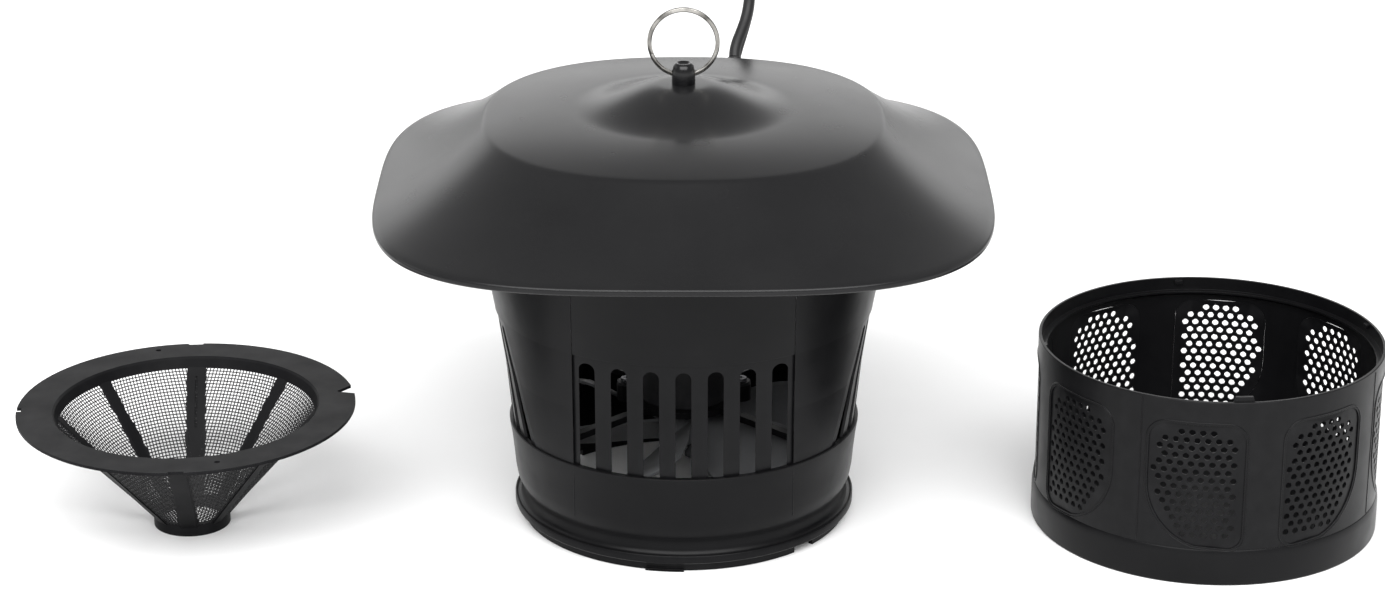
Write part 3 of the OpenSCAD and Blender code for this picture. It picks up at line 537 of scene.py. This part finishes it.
def make_relief():
    """Tapered sleeve with flexing grooves, square to the roof's rear slope."""
    outline = [(0, -22), (7.4, -22), (7.4, -17), (5.9, -17), (5.9, -13.3), (7.6, -13.3), (7.6, -12),
               (5.4, -11.6)]
    grooves = 5
    for i in range(grooves):
        top = -10.6 + 2.0 * i
        r = 5.3 - 0.26 * (i + 1)
        outline += [(r + 0.1, top - 0.4), (r - 0.55, top), (r - 0.6, top + 0.6), (r, top + 1.0)]
    outline += [(3.95, -0.7), (3.7, 0), (0, 0)]
    part = lathe(rounded(outline, 0.25, 2), 64, closed=False)
    turn = Matrix.Translation(RELIEF_TIP) @ Matrix.Rotation(math.radians(-RELIEF_LEAN), 4, "X")
    return build("relief_sleeve", *moved(part, turn), HEAD, "plug", ["strain_relief"])


def plug_section(x, half_y, half_z, power, count=48):
    ring = []
    for i in range(count):
        a = 2 * math.pi * i / count
        c, s = math.cos(a), math.sin(a)
        r = (abs(c) ** power + abs(s) ** power) ** (-1 / power)
        ring.append((PLUG_AT[0] + x, PLUG_AT[1] + half_y * r * c, PLUG_AT[2] + half_z * r * s))
    return ring


def make_plug():
    """Moulded two-pin plug with flexing rings at its back."""
    stations = [(0, 3.7, 3.7, 2), (0.6, 4.2, 4.2, 2)]
    for i in range(4):
        x = 2 + 2.4 * i
        stations += [(x, 4.3, 4.3, 2), (x + 0.3, 3.8, 3.8, 2), (x + 1.1, 3.8, 3.8, 2), (x + 1.4, 4.4, 4.4, 2)]
    stations += [(12, 5, 4.9, 2), (13.5, 7.4, 5.6, 2.2), (15.5, 10.2, 6.3, 2.6), (18.5, 12.2, 6.75, 3.2),
                 (22, 12.9, 6.9, 3.8), (27, 12.9, 6.9, 4), (31.5, 12.6, 6.7, 4), (33.4, 12.2, 6.4, 4),
                 (34, 11.4, 5.8, 4)]
    part = skin([plug_section(*s) for s in stations], capped=True)
    return build("plug_moulding", *part, HEAD, "plug", ["plug_body"], smooth=40)


LEAD_WIRE_R, LEAD_HALF_GAP = 1.3, 1.5
TWIST_WIRE_R, TWIST_R, TWIST_STEP = 0.8, 0.78, 0.42
INNER_LEAD = [
    (28.4, 133.1, 190.5), (28.4, 132, 188.7), (28.3, 129.8, 187.2), (28, 126.6, 187.6), (27.5, 121, 192),
    (27.5, 116, 198), (27.5, 112, 204), (27.5, 107, 207.8), (26.5, 100, 208.6), (24, 90, 207),
    (20, 80, 201), (16, 73.5, 192), (13.6, 70, 186.6), (13.1, 67.5, 185), (13, 64.4, 184.6),
]
MOTOR_LEAD = [
    (12, 30, 172), (12, 30, 164), (13, 29, 150), (15, 26, 134), (17, 22, 120),
    (18, 18, 108), (18, 14, 100), (18, 12, 97),
]


def smooth_path(points, between=5):
    """A rounder line through the points."""
    ends = [points[0]] + list(points) + [points[-1]]
    path = []
    for a, b, c, d in zip(ends, ends[1:], ends[2:], ends[3:]):
        a, b, c, d = Vector(a), Vector(b), Vector(c), Vector(d)
        for i in range(between):
            t = i / between
            path.append(0.5 * (2 * b + (c - a) * t + (2 * a - 5 * b + 4 * c - d) * t**2
                               + (3 * b - a - 3 * c + d) * t**3))
    path.append(Vector(points[-1]))
    return path


def make_leads():
    """The two conductors to the board, and the motor's twisted pair."""
    pair = []
    for side in (-LEAD_HALF_GAP, LEAD_HALF_GAP):
        route = smooth_path([(x + side, y, z) for x, y, z in INNER_LEAD])
        pair.append(tube(route, LEAD_WIRE_R, 12))
    build("inner_wires", *merged(*pair), HEAD, "wires", ["inner_lead"], smooth=60)
    route = smooth_path(MOTOR_LEAD, 12)
    strands = []
    for turn in (0, math.pi):
        path = []
        for i, p in enumerate(route):
            a = turn + TWIST_STEP * i
            path.append(p + Vector((TWIST_R * math.cos(a), TWIST_R * math.sin(a), 0)))
        strands.append(tube(path, TWIST_WIRE_R, 10))
    build("motor_wires", *merged(*strands), HEAD, "wires", ["motor_lead"], smooth=60)


# Roof ------------------------------------------------------------------------------

ROOF_HALF, ROOF_SQUARE = 162, 3.3
PLATEAU_HALF, PLATEAU_SQUARE, PLATEAU_Z = 105, 2.4, 222.3
DOME_Z, DOME_TOP_R, DOME_FOOT_R = 240.2, 12, 60
DOME_FOOT_Z = PLATEAU_Z + 5.2
RIM_Z, RIM_DROP, ROOF_WALL = 181.7, 3.8, 2.4
ROOF_EDGE = ROOF_HALF - 0.8  # where the slope ends and the rim's roll starts
SKIRT_IN, SKIRT_OUT, SKIRT_LET_IN = 108.6, 110.8, 1.2
SLOPE_BEND = 0.35
CREASE_SOFTNESS = 0.3
DOME_GATHER = 0.85  # below 1, the dome rises more steeply near its middle
DRUM_TOP_Z = 204
CORNER_AZ = (45, 135, 225, 315)  # screws and bosses stand on the diagonals
ROOF_BOSS_AT, ROOF_BOSS_TOP = 96, 221
STEM_HOLE_R = 4.3
POST_HOLE, POST_HOLE_R = 4.9, 2.2  # the ring's hole: height above the dome, and radius


def outline_ring(half, square, z, count=288):
    ring = []
    for i in range(count):
        a = 2 * math.pi * i / count
        c, s = abs(math.cos(a)), abs(math.sin(a))
        r = half * (c**square + s**square) ** (-1 / square)
        ring.append((r * math.sin(a), -r * math.cos(a), z))
    return ring


def slope_z(t):
    return PLATEAU_Z - (PLATEAU_Z - RIM_Z - RIM_DROP) * ((1 + SLOPE_BEND) * t - SLOPE_BEND * t * t)


def soft_lower(a, b, softness):
    """The lower of two heights, with the corner between them rounded off."""
    low = min(a, b)
    return low - softness * math.log(math.exp((low - a) / softness) + math.exp((low - b) / softness))


def middle_z(half):
    """Height of the gently falling middle, outside the dome."""
    t = (half - DOME_FOOT_R) / (PLATEAU_HALF - DOME_FOOT_R)
    return DOME_FOOT_Z - (DOME_FOOT_Z - PLATEAU_Z) * (0.35 * t + 0.65 * t * t)


def roof_profile(inner=False):
    """Stations of the roof from the dome to the rim: half width, squareness, height."""
    drop = ROOF_WALL if inner else 0
    rows = []
    for i in range(19):
        t = i / 18
        r = DOME_TOP_R + (DOME_FOOT_R - DOME_TOP_R) * t
        rise = 0.5 + 0.5 * math.cos(math.pi * t**DOME_GATHER)
        rows.append((r, 2.0, DOME_FOOT_Z + (DOME_Z - DOME_FOOT_Z) * rise))
    near = [62, 66, 71, 77, 83, 89, 94, 98, 100.8, 102.6, 103.6, 104.3, 105, 105.7, 106.4, 107.4, 109, 111.5]
    far = [PLATEAU_HALF + (ROOF_EDGE - PLATEAU_HALF) * i / 20 for i in range(3, 21)]
    for half in near + far:
        t = (half - PLATEAU_HALF) / (ROOF_EDGE - PLATEAU_HALF)
        square = PLATEAU_SQUARE + (ROOF_SQUARE - PLATEAU_SQUARE) * max(t, 0)
        if half < PLATEAU_HALF:
            out = (half - DOME_FOOT_R) / (PLATEAU_HALF - DOME_FOOT_R)
            square = 2 + (PLATEAU_SQUARE - 2) * smoothstep(out)
        rows.append((half, square, soft_lower(middle_z(half), slope_z(t), CREASE_SOFTNESS)))
    return [(w, n, z - drop) for w, n, z in rows]


def make_skirt(inner_r, outer_r):
    """Ring under the roof, its top edge let into the roof's wall all the way round."""
    rings = [[], [], [], []]
    steps = 144
    for i in range(steps):
        a = 2 * math.pi * i / steps
        c, s = abs(math.cos(a)), abs(math.sin(a))
        half = outer_r * (c**PLATEAU_SQUARE + s**PLATEAU_SQUARE) ** (1 / PLATEAU_SQUARE)
        t = (half - PLATEAU_HALF) / (ROOF_EDGE - PLATEAU_HALF)
        top = soft_lower(middle_z(half), slope_z(t), CREASE_SOFTNESS) - SKIRT_LET_IN
        section = ((inner_r, DRUM_TOP_Z), (outer_r, DRUM_TOP_Z), (outer_r, top), (inner_r, top))
        for ring, (r, z) in zip(rings, section):
            ring.append((r * math.sin(a), -r * math.cos(a), z))
    return skin(rings, closed_loop=True)


def make_roof():
    """Roof shell with its rolled rim, the screw bosses and the skirt below it."""
    outer = roof_profile()
    inner = [row for row in roof_profile(True) if row[0] < ROOF_HALF - 4]
    rings = [outline_ring(STEM_HOLE_R, 2, DOME_Z)]
    rings += [outline_ring(*row) for row in outer]
    rim_top = RIM_Z + RIM_DROP
    for w, z in ((ROOF_HALF - 0.25, rim_top - 0.5), (ROOF_HALF, rim_top - 1.2), (ROOF_HALF, RIM_Z + 1.4),
                 (ROOF_HALF - 0.3, RIM_Z + 0.5), (ROOF_HALF - 1.0, RIM_Z), (ROOF_HALF - 1.8, RIM_Z + 0.1),
                 (ROOF_HALF - 2.3, RIM_Z + 0.6), (ROOF_HALF - 2.4, rim_top - 2.4),
                 (ROOF_HALF - 3.2, rim_top - 1.9)):
        rings.append(outline_ring(w, ROOF_SQUARE, z))
    rings += [outline_ring(*row) for row in reversed(inner)]
    rings.append(outline_ring(STEM_HOLE_R, 2, DOME_Z - ROOF_WALL))
    shell = skin(rings, closed_loop=True)
    bosses = []
    for az in CORNER_AZ:
        a = math.radians(az)
        centre = (ROOF_BOSS_AT * math.sin(a), -ROOF_BOSS_AT * math.cos(a))
        outline = [(1.5, DRUM_TOP_Z), (5, DRUM_TOP_Z), (5, ROOF_BOSS_TOP), (1.5, ROOF_BOSS_TOP)]
        bosses.append(lathe(outline, 32, centre))
    skirt = make_skirt(SKIRT_IN, SKIRT_OUT)
    part = merged(shell, *bosses, skirt)
    return build("roof_shell", *part, HEAD, "roof", ["roof_canopy"], smooth=38)


# Hanger ------------------------------------------------------------------------------


def make_post():
    """Turned post with a cross hole for the ring."""
    z = DOME_Z
    profile = [(0, -16), (4, -16), (4, -0.3), (6.0, -0.3), (6.15, 0.2), (6.25, 2.5), (6.25, 5), (6.1, 7),
               (5.85, 8.6), (5.4, 9.8), (4.8, 10.6), (4.1, 11.1), (3.5, 11.15), (3.0, 10.9), (2.5, 10.3),
               (1.6, 10.1), (0, 10.05)]
    outline = [(r, z + up) for r, up in profile]
    post = build("hanger_post", *lathe(outline, 96, closed=False), HEAD, "post", ["hanging_post"], smooth=40)
    hole = tube([(-12, 0, z + POST_HOLE), (12, 0, z + POST_HOLE)], POST_HOLE_R, 40)
    cutter = build("post_hole_cutter", *hole, HEAD, "post")
    cut = post.modifiers.new("hole", "BOOLEAN")
    cut.operation = "DIFFERENCE"
    cut.object = cutter
    bevel = post.modifiers.new("hole_edge", "BEVEL")
    bevel.width = 0.25 * MM
    bevel.segments = 2
    bevel.limit_method = "ANGLE"
    bevel.angle_limit = math.radians(50)
    apply_modifiers(post)
    bpy.data.objects.remove(cutter)
    post.data.shade_smooth()
    post.data.set_sharp_from_angle(angle=math.radians(45))
    return post


RING_R, RING_TURNS, RING_START = 17.8, 1.98, 200
RING_HANG = 0.55  # how far the wire's middle hangs below the middle of the hole


def make_split_ring():
    """Two flattened coils of wire, side by side, with stepped ends."""
    centre_z = DOME_Z + POST_HOLE + RING_R - RING_HANG
    start = math.radians(RING_START)
    steps = 260
    verts, faces = [], []
    section = rounded([(-1.15, -0.54), (1.15, -0.54), (1.15, 0.54), (-1.15, 0.54)], 0.5, 4)
    count = len(section)
    for i in range(steps + 1):
        t = i / steps
        a = start + 2 * math.pi * RING_TURNS * t
        shift = 0.6 * math.tanh(9 * (t - 0.5))
        for radial, side in section:
            r = RING_R + radial
            verts.append((r * math.cos(a), shift + side, centre_z + r * math.sin(a)))
    for i in range(steps):
        for k in range(count):
            m = (k + 1) % count
            faces.append((i * count + k, i * count + m, (i + 1) * count + m, (i + 1) * count + k))
    faces.append(tuple(range(count - 1, -1, -1)))
    faces.append(tuple(steps * count + k for k in range(count)))
    return build("split_ring", verts, faces, RING, "nickel", ["hanging_ring"], smooth=50)


# Lower housing -------------------------------------------------------------------------

LIP_Z = 5.3
SPIGOT_R, OUTLET_R = 88, 85.5
LUG_AZ = (-96.4, -6.4, 94.2, 173.6)
GAP_AZ, GAP_HALF, GAP_H = (46.5, 226.5), 4.6, 3.5
# Walls of the hollow lug: reach, low and high, azimuth from and to about its middle, steps
LUG_WALLS = (
    (2, 0, 0.5, -6.5, 6.5, 14), (2, 0.4, 1.4, -6.5, -5.3, 3), (2, 0.4, 1.4, 5.3, 6.5, 3),
    (2, 1.1, 1.4, -5.5, 5.5, 12), (0.8, 0.4, 1.2, -5.5, 5.5, 12),
)
SCREW_POST_AT = 86
SEAM_X, SEAM_R = 57.5, 0.22  # mould lines below the panels' edges


def sector(inner_r, outer_r, low, high, az0, az1, steps=40):
    """Block between two radii, two heights and two azimuths."""
    rings = []
    for i in range(steps + 1):
        a = math.radians(az0 + (az1 - az0) * i / steps)
        ring = [(inner_r, low), (outer_r, low), (outer_r, high), (inner_r, high)]
        rings.append([(r * math.sin(a), -r * math.cos(a), z) for r, z in ring])
    return skin(rings, capped=True)


def make_lower_housing():
    """Lower ring, dished flange with a raised lip, spigot with lugs, and the screw posts."""
    outline = [(94.0, 54.5), (94.4, 54.1), (94.2, 52), (93.2, 46), (92.1, 36), (91.4, 28), (90.4, 22.5),
               (88.9, 19), (87.6, 16.6), (87.3, 14.2), (87.5, 11.6), (88.4, 9.7), (89.6, 8.9), (90.5, 8.9),
               (91.0, 9.4), (91.3, 9.75), (91.7, 9.75), (92, 9.3), (92, 5.8), (91.5, LIP_Z),
               (OUTLET_R, LIP_Z), (OUTLET_R, 15), (87.4, 21), (89.2, 32), (91, 46), (91.1, 54.2),
               (91.4, 54.5)]
    parts = [lathe(outline, 240)]
    spigot_top = LIP_Z + 0.5
    for start, end in ((GAP_AZ[0], GAP_AZ[1]), (GAP_AZ[1], GAP_AZ[0] + 360)):
        parts.append(sector(OUTLET_R, SPIGOT_R, 0, spigot_top, start + GAP_HALF, end - GAP_HALF, 120))
    for az in GAP_AZ:
        parts.append(sector(OUTLET_R, SPIGOT_R, GAP_H, spigot_top, az - GAP_HALF, az + GAP_HALF, 10))
    for az in LUG_AZ:
        for reach, low, high, az0, az1, steps in LUG_WALLS:
            parts.append(sector(SPIGOT_R - 0.5, SPIGOT_R + reach, low, high, az + az0, az + az1, steps))
    post = [(1.25, 40), (3.6, 40), (3.8, 40.3), (3.8, 61.2), (3.6, 61.5), (1.25, 61.5)]
    rib = [(SCREW_POST_AT, -2), (92, -2), (92, 2), (SCREW_POST_AT, 2)]
    for az in CORNER_AZ:
        a = math.radians(az)
        c, s = math.cos(a), math.sin(a)
        parts.append(lathe(post, 32, (SCREW_POST_AT * c, SCREW_POST_AT * s)))
        turned = [(x * c - y * s, x * s + y * c) for x, y in rib]
        parts.append(skin([[(x, y, z) for x, y in turned] for z in (40, 53.5)], capped=True))
    seam = [(93.2, 46), (92.1, 36), (91.4, 28), (90.6, 23.5)]
    for side in (-SEAM_X, SEAM_X):
        for front in (-1, 1):
            path = [(side, front * math.sqrt(r * r - SEAM_X * SEAM_X), z) for r, z in [(94.1, 53)] + seam]
            parts.append(tube(path, SEAM_R, 8))
    return build("lower_ring", *merged(*parts), HEAD, "housing", ["lower_housing"], smooth=35, weld=0)


# Fan ---------------------------------------------------------------------------------

FAN_Z, BLADES, BLADE_AZ0 = 45, 6, 12
BLADE_ROOT_R, BLADE_TIP_R, BLADE_HALF_T = 13.5, 79.8, 0.8
SPANS, CHORDS = 22, 16  # steps along a blade and across it


def blade_half_chord(s):
    """Half width of a blade at s of its length, drawn in to a round tip."""
    tip = math.sqrt(max(1 - (max(s - 0.82, 0) / 0.182) ** 2, 0.02))
    return (14 + 9.5 * smoothstep(s * 1.3)) * tip


def make_fan():
    """Hub and six cambered blades with round tips."""
    hub = [(0, 59.6), (9.5, 59.6), (14.6, 56.4), (15, 54), (15, 40.4), (13, 40), (13, 52), (5, 52),
           (5, 40), (2.5, 40), (2.5, 58), (0, 58)]
    parts = [lathe(rounded(hub, 0.8, 3), 96, closed=False)]
    for k in range(BLADES):
        turn = 360 / BLADES * k + BLADE_AZ0
        top, bottom = [], []
        for i in range(SPANS + 1):
            s = i / SPANS
            r = BLADE_ROOT_R + (BLADE_TIP_R - BLADE_ROOT_R) * s
            half_chord = blade_half_chord(s)
            pitch = math.radians(43 - 14 * s)
            for j in range(CHORDS + 1):
                c = -1 + 2 * j / CHORDS
                along = c * half_chord
                camber = 2.4 * (1 - c * c) * (0.4 + 0.6 * s)
                y = along * math.cos(pitch) - camber * math.sin(pitch)
                z = FAN_Z + along * math.sin(pitch) + camber * math.cos(pitch)
                angle = math.radians(turn) + math.asin(max(-1, min(1, y / max(r, 16))))
                point = (r * math.cos(angle), r * math.sin(angle))
                top.append((*point, z + BLADE_HALF_T))
                bottom.append((*point, z - BLADE_HALF_T))
        width = CHORDS + 1
        total = len(top)
        faces = []
        for i in range(SPANS):
            for j in range(CHORDS):
                a, b, c, d = i * width + j, i * width + j + 1, (i + 1) * width + j + 1, (i + 1) * width + j
                faces += [(a, b, c, d), (total + a, total + d, total + c, total + b)]
        border = list(range(width))
        border += [i * width + CHORDS for i in range(1, SPANS + 1)]
        border += [SPANS * width + j for j in range(CHORDS - 1, -1, -1)]
        border += [i * width for i in range(SPANS - 1, 0, -1)]
        for a, b in zip(border, border[1:] + border[:1]):
            faces.append((a, b, total + b, total + a))
        parts.append((top + bottom, faces))
    return build("fan_wheel", *merged(*parts), FAN, "fan_plastic", ["fan_rotor"], smooth=40)


# Funnel ------------------------------------------------------------------------------

FUNNEL_AT = (-266, -25)
FUNNEL_H = 67.6
CONE_TOP_R, CONE_TOP_Z = 68.0, FUNNEL_H - 6
THROAT_R, THROAT_H = 20.5, 7
MESH_CELL, THREAD_R, WEAVE = 1.9, 0.31, 0.19  # WEAVE is how far a thread sways over and under
RIBS = 8
RIB_AZ0, RIB_STEP = 3, 360 / RIBS
WIDE_RIB_HALF, NARROW_RIB_HALF = 4.4, 2.8  # the front and rear ribs are the wide ones


def make_funnel_mesh():
    """Woven screen: threads round the cone and threads up it, over and under each other."""
    low_r, low_z, high_r, high_z = THROAT_R - 0.6, THROAT_H - 1, CONE_TOP_R + 0.8, CONE_TOP_Z + 0.3
    slant = math.hypot(high_r - low_r, high_z - low_z)
    out = Vector((high_z - low_z, 0, low_r - high_r)).normalized()
    cell, weave = MESH_CELL, WEAVE
    rows = int(slant / cell)
    half_angle = math.pi / RIBS
    parts = []

    def cone_point(s, across, az, lift):
        """Point at slant distance s from the foot and arc distance across, in one sector."""
        t = s / slant
        r = low_r + (high_r - low_r) * t
        z = low_z + (high_z - low_z) * t
        a = az + across / r
        r += out.x * lift
        return (FUNNEL_AT[0] + r * math.sin(a), FUNNEL_AT[1] - r * math.cos(a), z + out.z * lift)

    for k in range(RIBS):
        az = math.radians(RIB_AZ0 + RIB_STEP * k) + half_angle
        for i in range(rows + 1):
            s = i * cell
            r = low_r + (high_r - low_r) * s / slant
            half = r * half_angle
            count = int(half / cell)
            stops = [-half] + [j * cell for j in range(-count, count + 1)] + [half]
            path = []
            for j, x in enumerate(stops, -count - 1):
                path.append(cone_point(s, x, az, weave * (1 if (i + j) % 2 else -1)))
            parts.append(tube(path, THREAD_R, 5))
        widest = int(high_r * half_angle / cell)
        for j in range(-widest, widest + 1):
            x = j * cell
            first = max(0, math.ceil((abs(x) / half_angle - low_r) / (high_r - low_r) * rows))
            if first > rows - 1:
                continue
            path = []
            for i in range(first, rows + 1):
                path.append(cone_point(i * cell, x, az, weave * (-1 if (i + j) % 2 else 1)))
            parts.append(tube(path, THREAD_R, 5))
    return build("funnel_weave", *merged(*parts), FUNNEL, "mesh", ["funnel_mesh"], smooth=60, weld=0)


def make_rib_flash():
    """Uneven skirts of plastic along the ribs, where the mesh is moulded in."""
    low_r, low_z, high_r, high_z = THROAT_R - 0.6, THROAT_H - 1, CONE_TOP_R + 0.6, CONE_TOP_Z + 0.2
    slant = math.hypot(high_r - low_r, high_z - low_z)
    out = Vector((high_z - low_z, 0, low_r - high_r)).normalized()
    dice = random.Random(5)
    step = 0.9
    parts = []
    for k in range(RIBS):
        az = math.radians(RIB_AZ0 + RIB_STEP * k)
        rib_half = WIDE_RIB_HALF if k % 4 == 0 else NARROW_RIB_HALF
        for side in (-1, 1):
            verts, faces = [], []
            reach = 0.8
            count = int(slant / step)
            for i in range(count + 1):
                t = i / count
                r, z = low_r + (high_r - low_r) * t, low_z + (high_z - low_z) * t
                reach = 0.55 * reach + 0.45 * dice.uniform(0.0, 1.9)
                section = ((rib_half - 0.4, 0.45), (rib_half + reach, 0.35),
                           (rib_half + reach, -0.35), (rib_half - 0.4, -0.45))
                for across, lift in section:
                    rr = r + out.x * lift
                    a = az + side * math.asin(across / rr)
                    x, y = FUNNEL_AT[0] + rr * math.sin(a), FUNNEL_AT[1] - rr * math.cos(a)
                    verts.append((x, y, z + out.z * lift))
            for i in range(count):
                for j in range(4):
                    m = (j + 1) % 4
                    faces.append((4 * i + j, 4 * i + m, 4 * i + 4 + m, 4 * i + 4 + j))
            faces += [(0, 1, 2, 3), tuple(4 * count + j for j in (3, 2, 1, 0))]
            parts.append((verts, faces))
    return build("rib_flash", *merged(*parts), FUNNEL, "funnel_plastic", smooth=25, weld=0)


# Basket ------------------------------------------------------------------------------

BASKET_AT = (282, -14)
BASKET_R = 92
WINDOW_HALF, WINDOW_Z0, WINDOW_Z1 = 25.0, 20.6, 89.5
WINDOWS = 8
WINDOW_AZ0, WINDOW_STEP = -11.5, 360 / WINDOWS
SWEPT_R, FOOT_R = 35, 7  # a window's lower corners
BEAD_OUT, BEAD_R, MOULD_LINE_R = 1.3, 0.45, 0.42  # raised lines round the windows and up the wall
SCREEN_BACK, SCREEN_T = 0.6, 0.9  # how far the screens lie behind the wall's face, and their thickness


def window_outline(hand, margin, top_r=10, steps=6):
    """One window, with one lower corner swept up; hand is 1 or -1."""
    w, z0, z1 = WINDOW_HALF - margin, WINDOW_Z0 + margin, WINDOW_Z1 - margin
    big, small, top = SWEPT_R - margin, FOOT_R - margin, top_r - margin
    points = arc((w - small, z0 + small), small, -90, 0, steps)
    points += arc((w - top, z1 - top), top, 0, 90, steps)
    points += arc((-w + top, z1 - top), top, 90, 180, steps)
    points += arc((-w + big, z0 + big), big, 180, 255, 2 * steps)
    return [(hand * x, z) for x, z in points]


def inside(point, outline):
    x, y = point
    hit = False
    for (x1, y1), (x2, y2) in zip(outline, outline[1:] + outline[:1]):
        if (y1 > y) != (y2 > y) and x < (x2 - x1) * (y - y1) / (y2 - y1) + x1:
            hit = not hit
    return hit


def plate_with_holes(outline, holes):
    """Triangles of a flat plate between an outline and round holes."""
    points = [Vector(p) for p in outline]
    edges = [(i, (i + 1) % len(outline)) for i in range(len(outline))]
    for loop in holes:
        base = len(points)
        points += [Vector(p) for p in loop]
        edges += [(base + i, base + (i + 1) % len(loop)) for i in range(len(loop))]
    verts, _, faces, _, _, _ = delaunay_2d_cdt(points, edges, [], 0, 1e-5)
    centres = []
    for loop in holes:
        centres.append((sum(p[0] for p in loop) / len(loop), sum(p[1] for p in loop) / len(loop)))
    reach = [max(math.dist(c, p) for p in loop) for c, loop in zip(centres, holes)]
    kept = []
    for f in faces:
        mid = (sum(verts[i].x for i in f) / len(f), sum(verts[i].y for i in f) / len(f))
        if inside(mid, outline) and not any(math.dist(mid, c) < r * 0.93 for c, r in zip(centres, reach)):
            kept.append(tuple(f))
    return [tuple(v) for v in verts], kept


def hole_grid(outline):
    """Round holes in staggered rows that lie inside the outline."""
    pitch, row_step, hole_r, clear_r, top_gap = 5.5, 4.4, 1.75, 3.0, 4.6
    holes = []
    rows = int((WINDOW_Z1 - WINDOW_Z0) / row_step)
    for j in range(rows):
        z = WINDOW_Z1 - top_gap - row_step * j
        for i in range(-6, 6):
            x = pitch * (i + 0.5 * ((j + 1) % 2))
            near = [(x + clear_r * math.cos(a), z + clear_r * math.sin(a)) for a in (0, 1.57, 3.14, 4.71)]
            if all(inside(p, outline) for p in near):
                holes.append(arc((x, z), hole_r, 0, 360 - 360 / 14, 13))
    return holes


def wrap(x, z, az, r):
    """A point of an unrolled wall, bent round the basket's axis."""
    a = math.radians(az) + math.asin(x / r)
    return (BASKET_AT[0] + r * math.sin(a), BASKET_AT[1] - r * math.cos(a), z)


def wrapped(flat, faces, az, outer, thickness):
    """A flat plate bent round the basket's axis, as a closed sheet."""
    count = len(flat)
    verts = [wrap(x, z, az, r) for r in (outer, outer - thickness) for x, z in flat]
    used = {}
    for f in faces:
        for a, b in zip(f, f[1:] + f[:1]):
            key = (min(a, b), max(a, b))
            used.setdefault(key, []).append((a, b))
    out = list(faces) + [tuple(count + i for i in reversed(f)) for f in faces]
    for pairs in used.values():
        if len(pairs) == 1:
            a, b = pairs[0]
            out.append((b, a, count + a, count + b))
    return verts, out


def make_screens():
    """The perforated screens, set back in the windows."""
    parts = []
    for hand in (1, -1):
        outline = window_outline(hand, 0.05)
        flat, faces = plate_with_holes(outline, hole_grid(window_outline(hand, 0, 19)))
        for k in range(0 if hand == 1 else 1, WINDOWS, 2):
            az = WINDOW_AZ0 + WINDOW_STEP * k
            parts.append(wrapped(flat, faces, az, BASKET_R - SCREEN_BACK, SCREEN_T))
    return build("basket_perforations", *merged(*parts), BASKET, "screen", ["basket_screens"], smooth=30)


def make_tray():
    """Floor and foot band, its top edge blended softly into the wall."""
    r = BASKET_R
    outline = [(0, 0), (r - 0.1, 0), (r + 0.45, 0.2), (r + 0.8, 0.6), (r + 0.9, 1.2), (r + 0.9, 15.5),
               (r + 0.84, 16.8), (r + 0.66, 18), (r + 0.4, 19), (r + 0.12, 19.8), (r, 20), (r, 2), (0, 2)]
    turned = lathe(outline, 240, BASKET_AT, closed=False)
    return build("tray", *turned, BASKET, "basket_plastic", ["basket_tray"], smooth=50)


def make_window_beads():
    """Thin raised line round each window, and the wall's four mould lines."""
    parts = []
    for k in range(WINDOWS):
        outline = window_outline(1 if k % 2 == 0 else -1, -BEAD_OUT, steps=8)
        dense = []
        for (x1, z1), (x2, z2) in zip(outline, outline[1:] + outline[:1]):
            count = max(1, round(math.dist((x1, z1), (x2, z2)) / 3))
            dense += [(x1 + (x2 - x1) * i / count, z1 + (z2 - z1) * i / count) for i in range(count)]
        az = WINDOW_AZ0 + WINDOW_STEP * k
        path = [wrap(x, z, az, BASKET_R - 0.05) for x, z in dense]
        parts.append(tube(path, BEAD_R, 8, closed=True))
    for k in range(4):
        path = [wrap(0, 20.5 + 80.5 * i / 12, -30 + 90 * k, BASKET_R - 0.15) for i in range(13)]
        parts.append(tube(path, MOULD_LINE_R, 8))
    return build("basket_beads", *merged(*parts), BASKET, "basket_plastic", smooth=60, weld=0)


# Make everything ------------------------------------------------------------------------

CAD_LOOKS = {
    "housing": ["upper_housing", "motor_mount"],
    "grille": ["front_grille", "rear_grille", "left_grille", "right_grille"],
    "zinc": ["roof_screws", "mount_screws", "motor_screws", "plate_screws",
             "post_washer", "post_nut", "fan_nut"],
    "motor": ["fan_motor"],
    "shaft_steel": ["motor_shaft"],
    "plate": ["lamp_plate"],
    "lamp_base": ["lamp_holder_left", "lamp_holder_right"],
    "lamp_glass": ["uv_lamp_left", "uv_lamp_right"],
    "board": ["driver_board"],
    "components": ["board_parts"],
    "pins": ["plug_pins"],
    "funnel_plastic": ["funnel_frame"],
    "basket_plastic": ["basket_wall"],
}


def dress_cad_nodes():
    """Gives each carried CAD node its procedural material."""
    for slot, names in CAD_LOOKS.items():
        for name in names:
            mesh = cad_nodes[name].data
            mesh.materials.clear()
            mesh.materials.append(materials[slot])


make_camera()
materials = make_materials()
relief = make_relief()
plug = make_plug()
make_cord()
make_studio()
make_floor()
dress_cad_nodes()
make_leads()
make_roof()
make_lower_housing()
make_post()
make_split_ring()
make_fan()
make_funnel_mesh()
make_rib_flash()
make_screens()
make_tray()
make_window_beads()
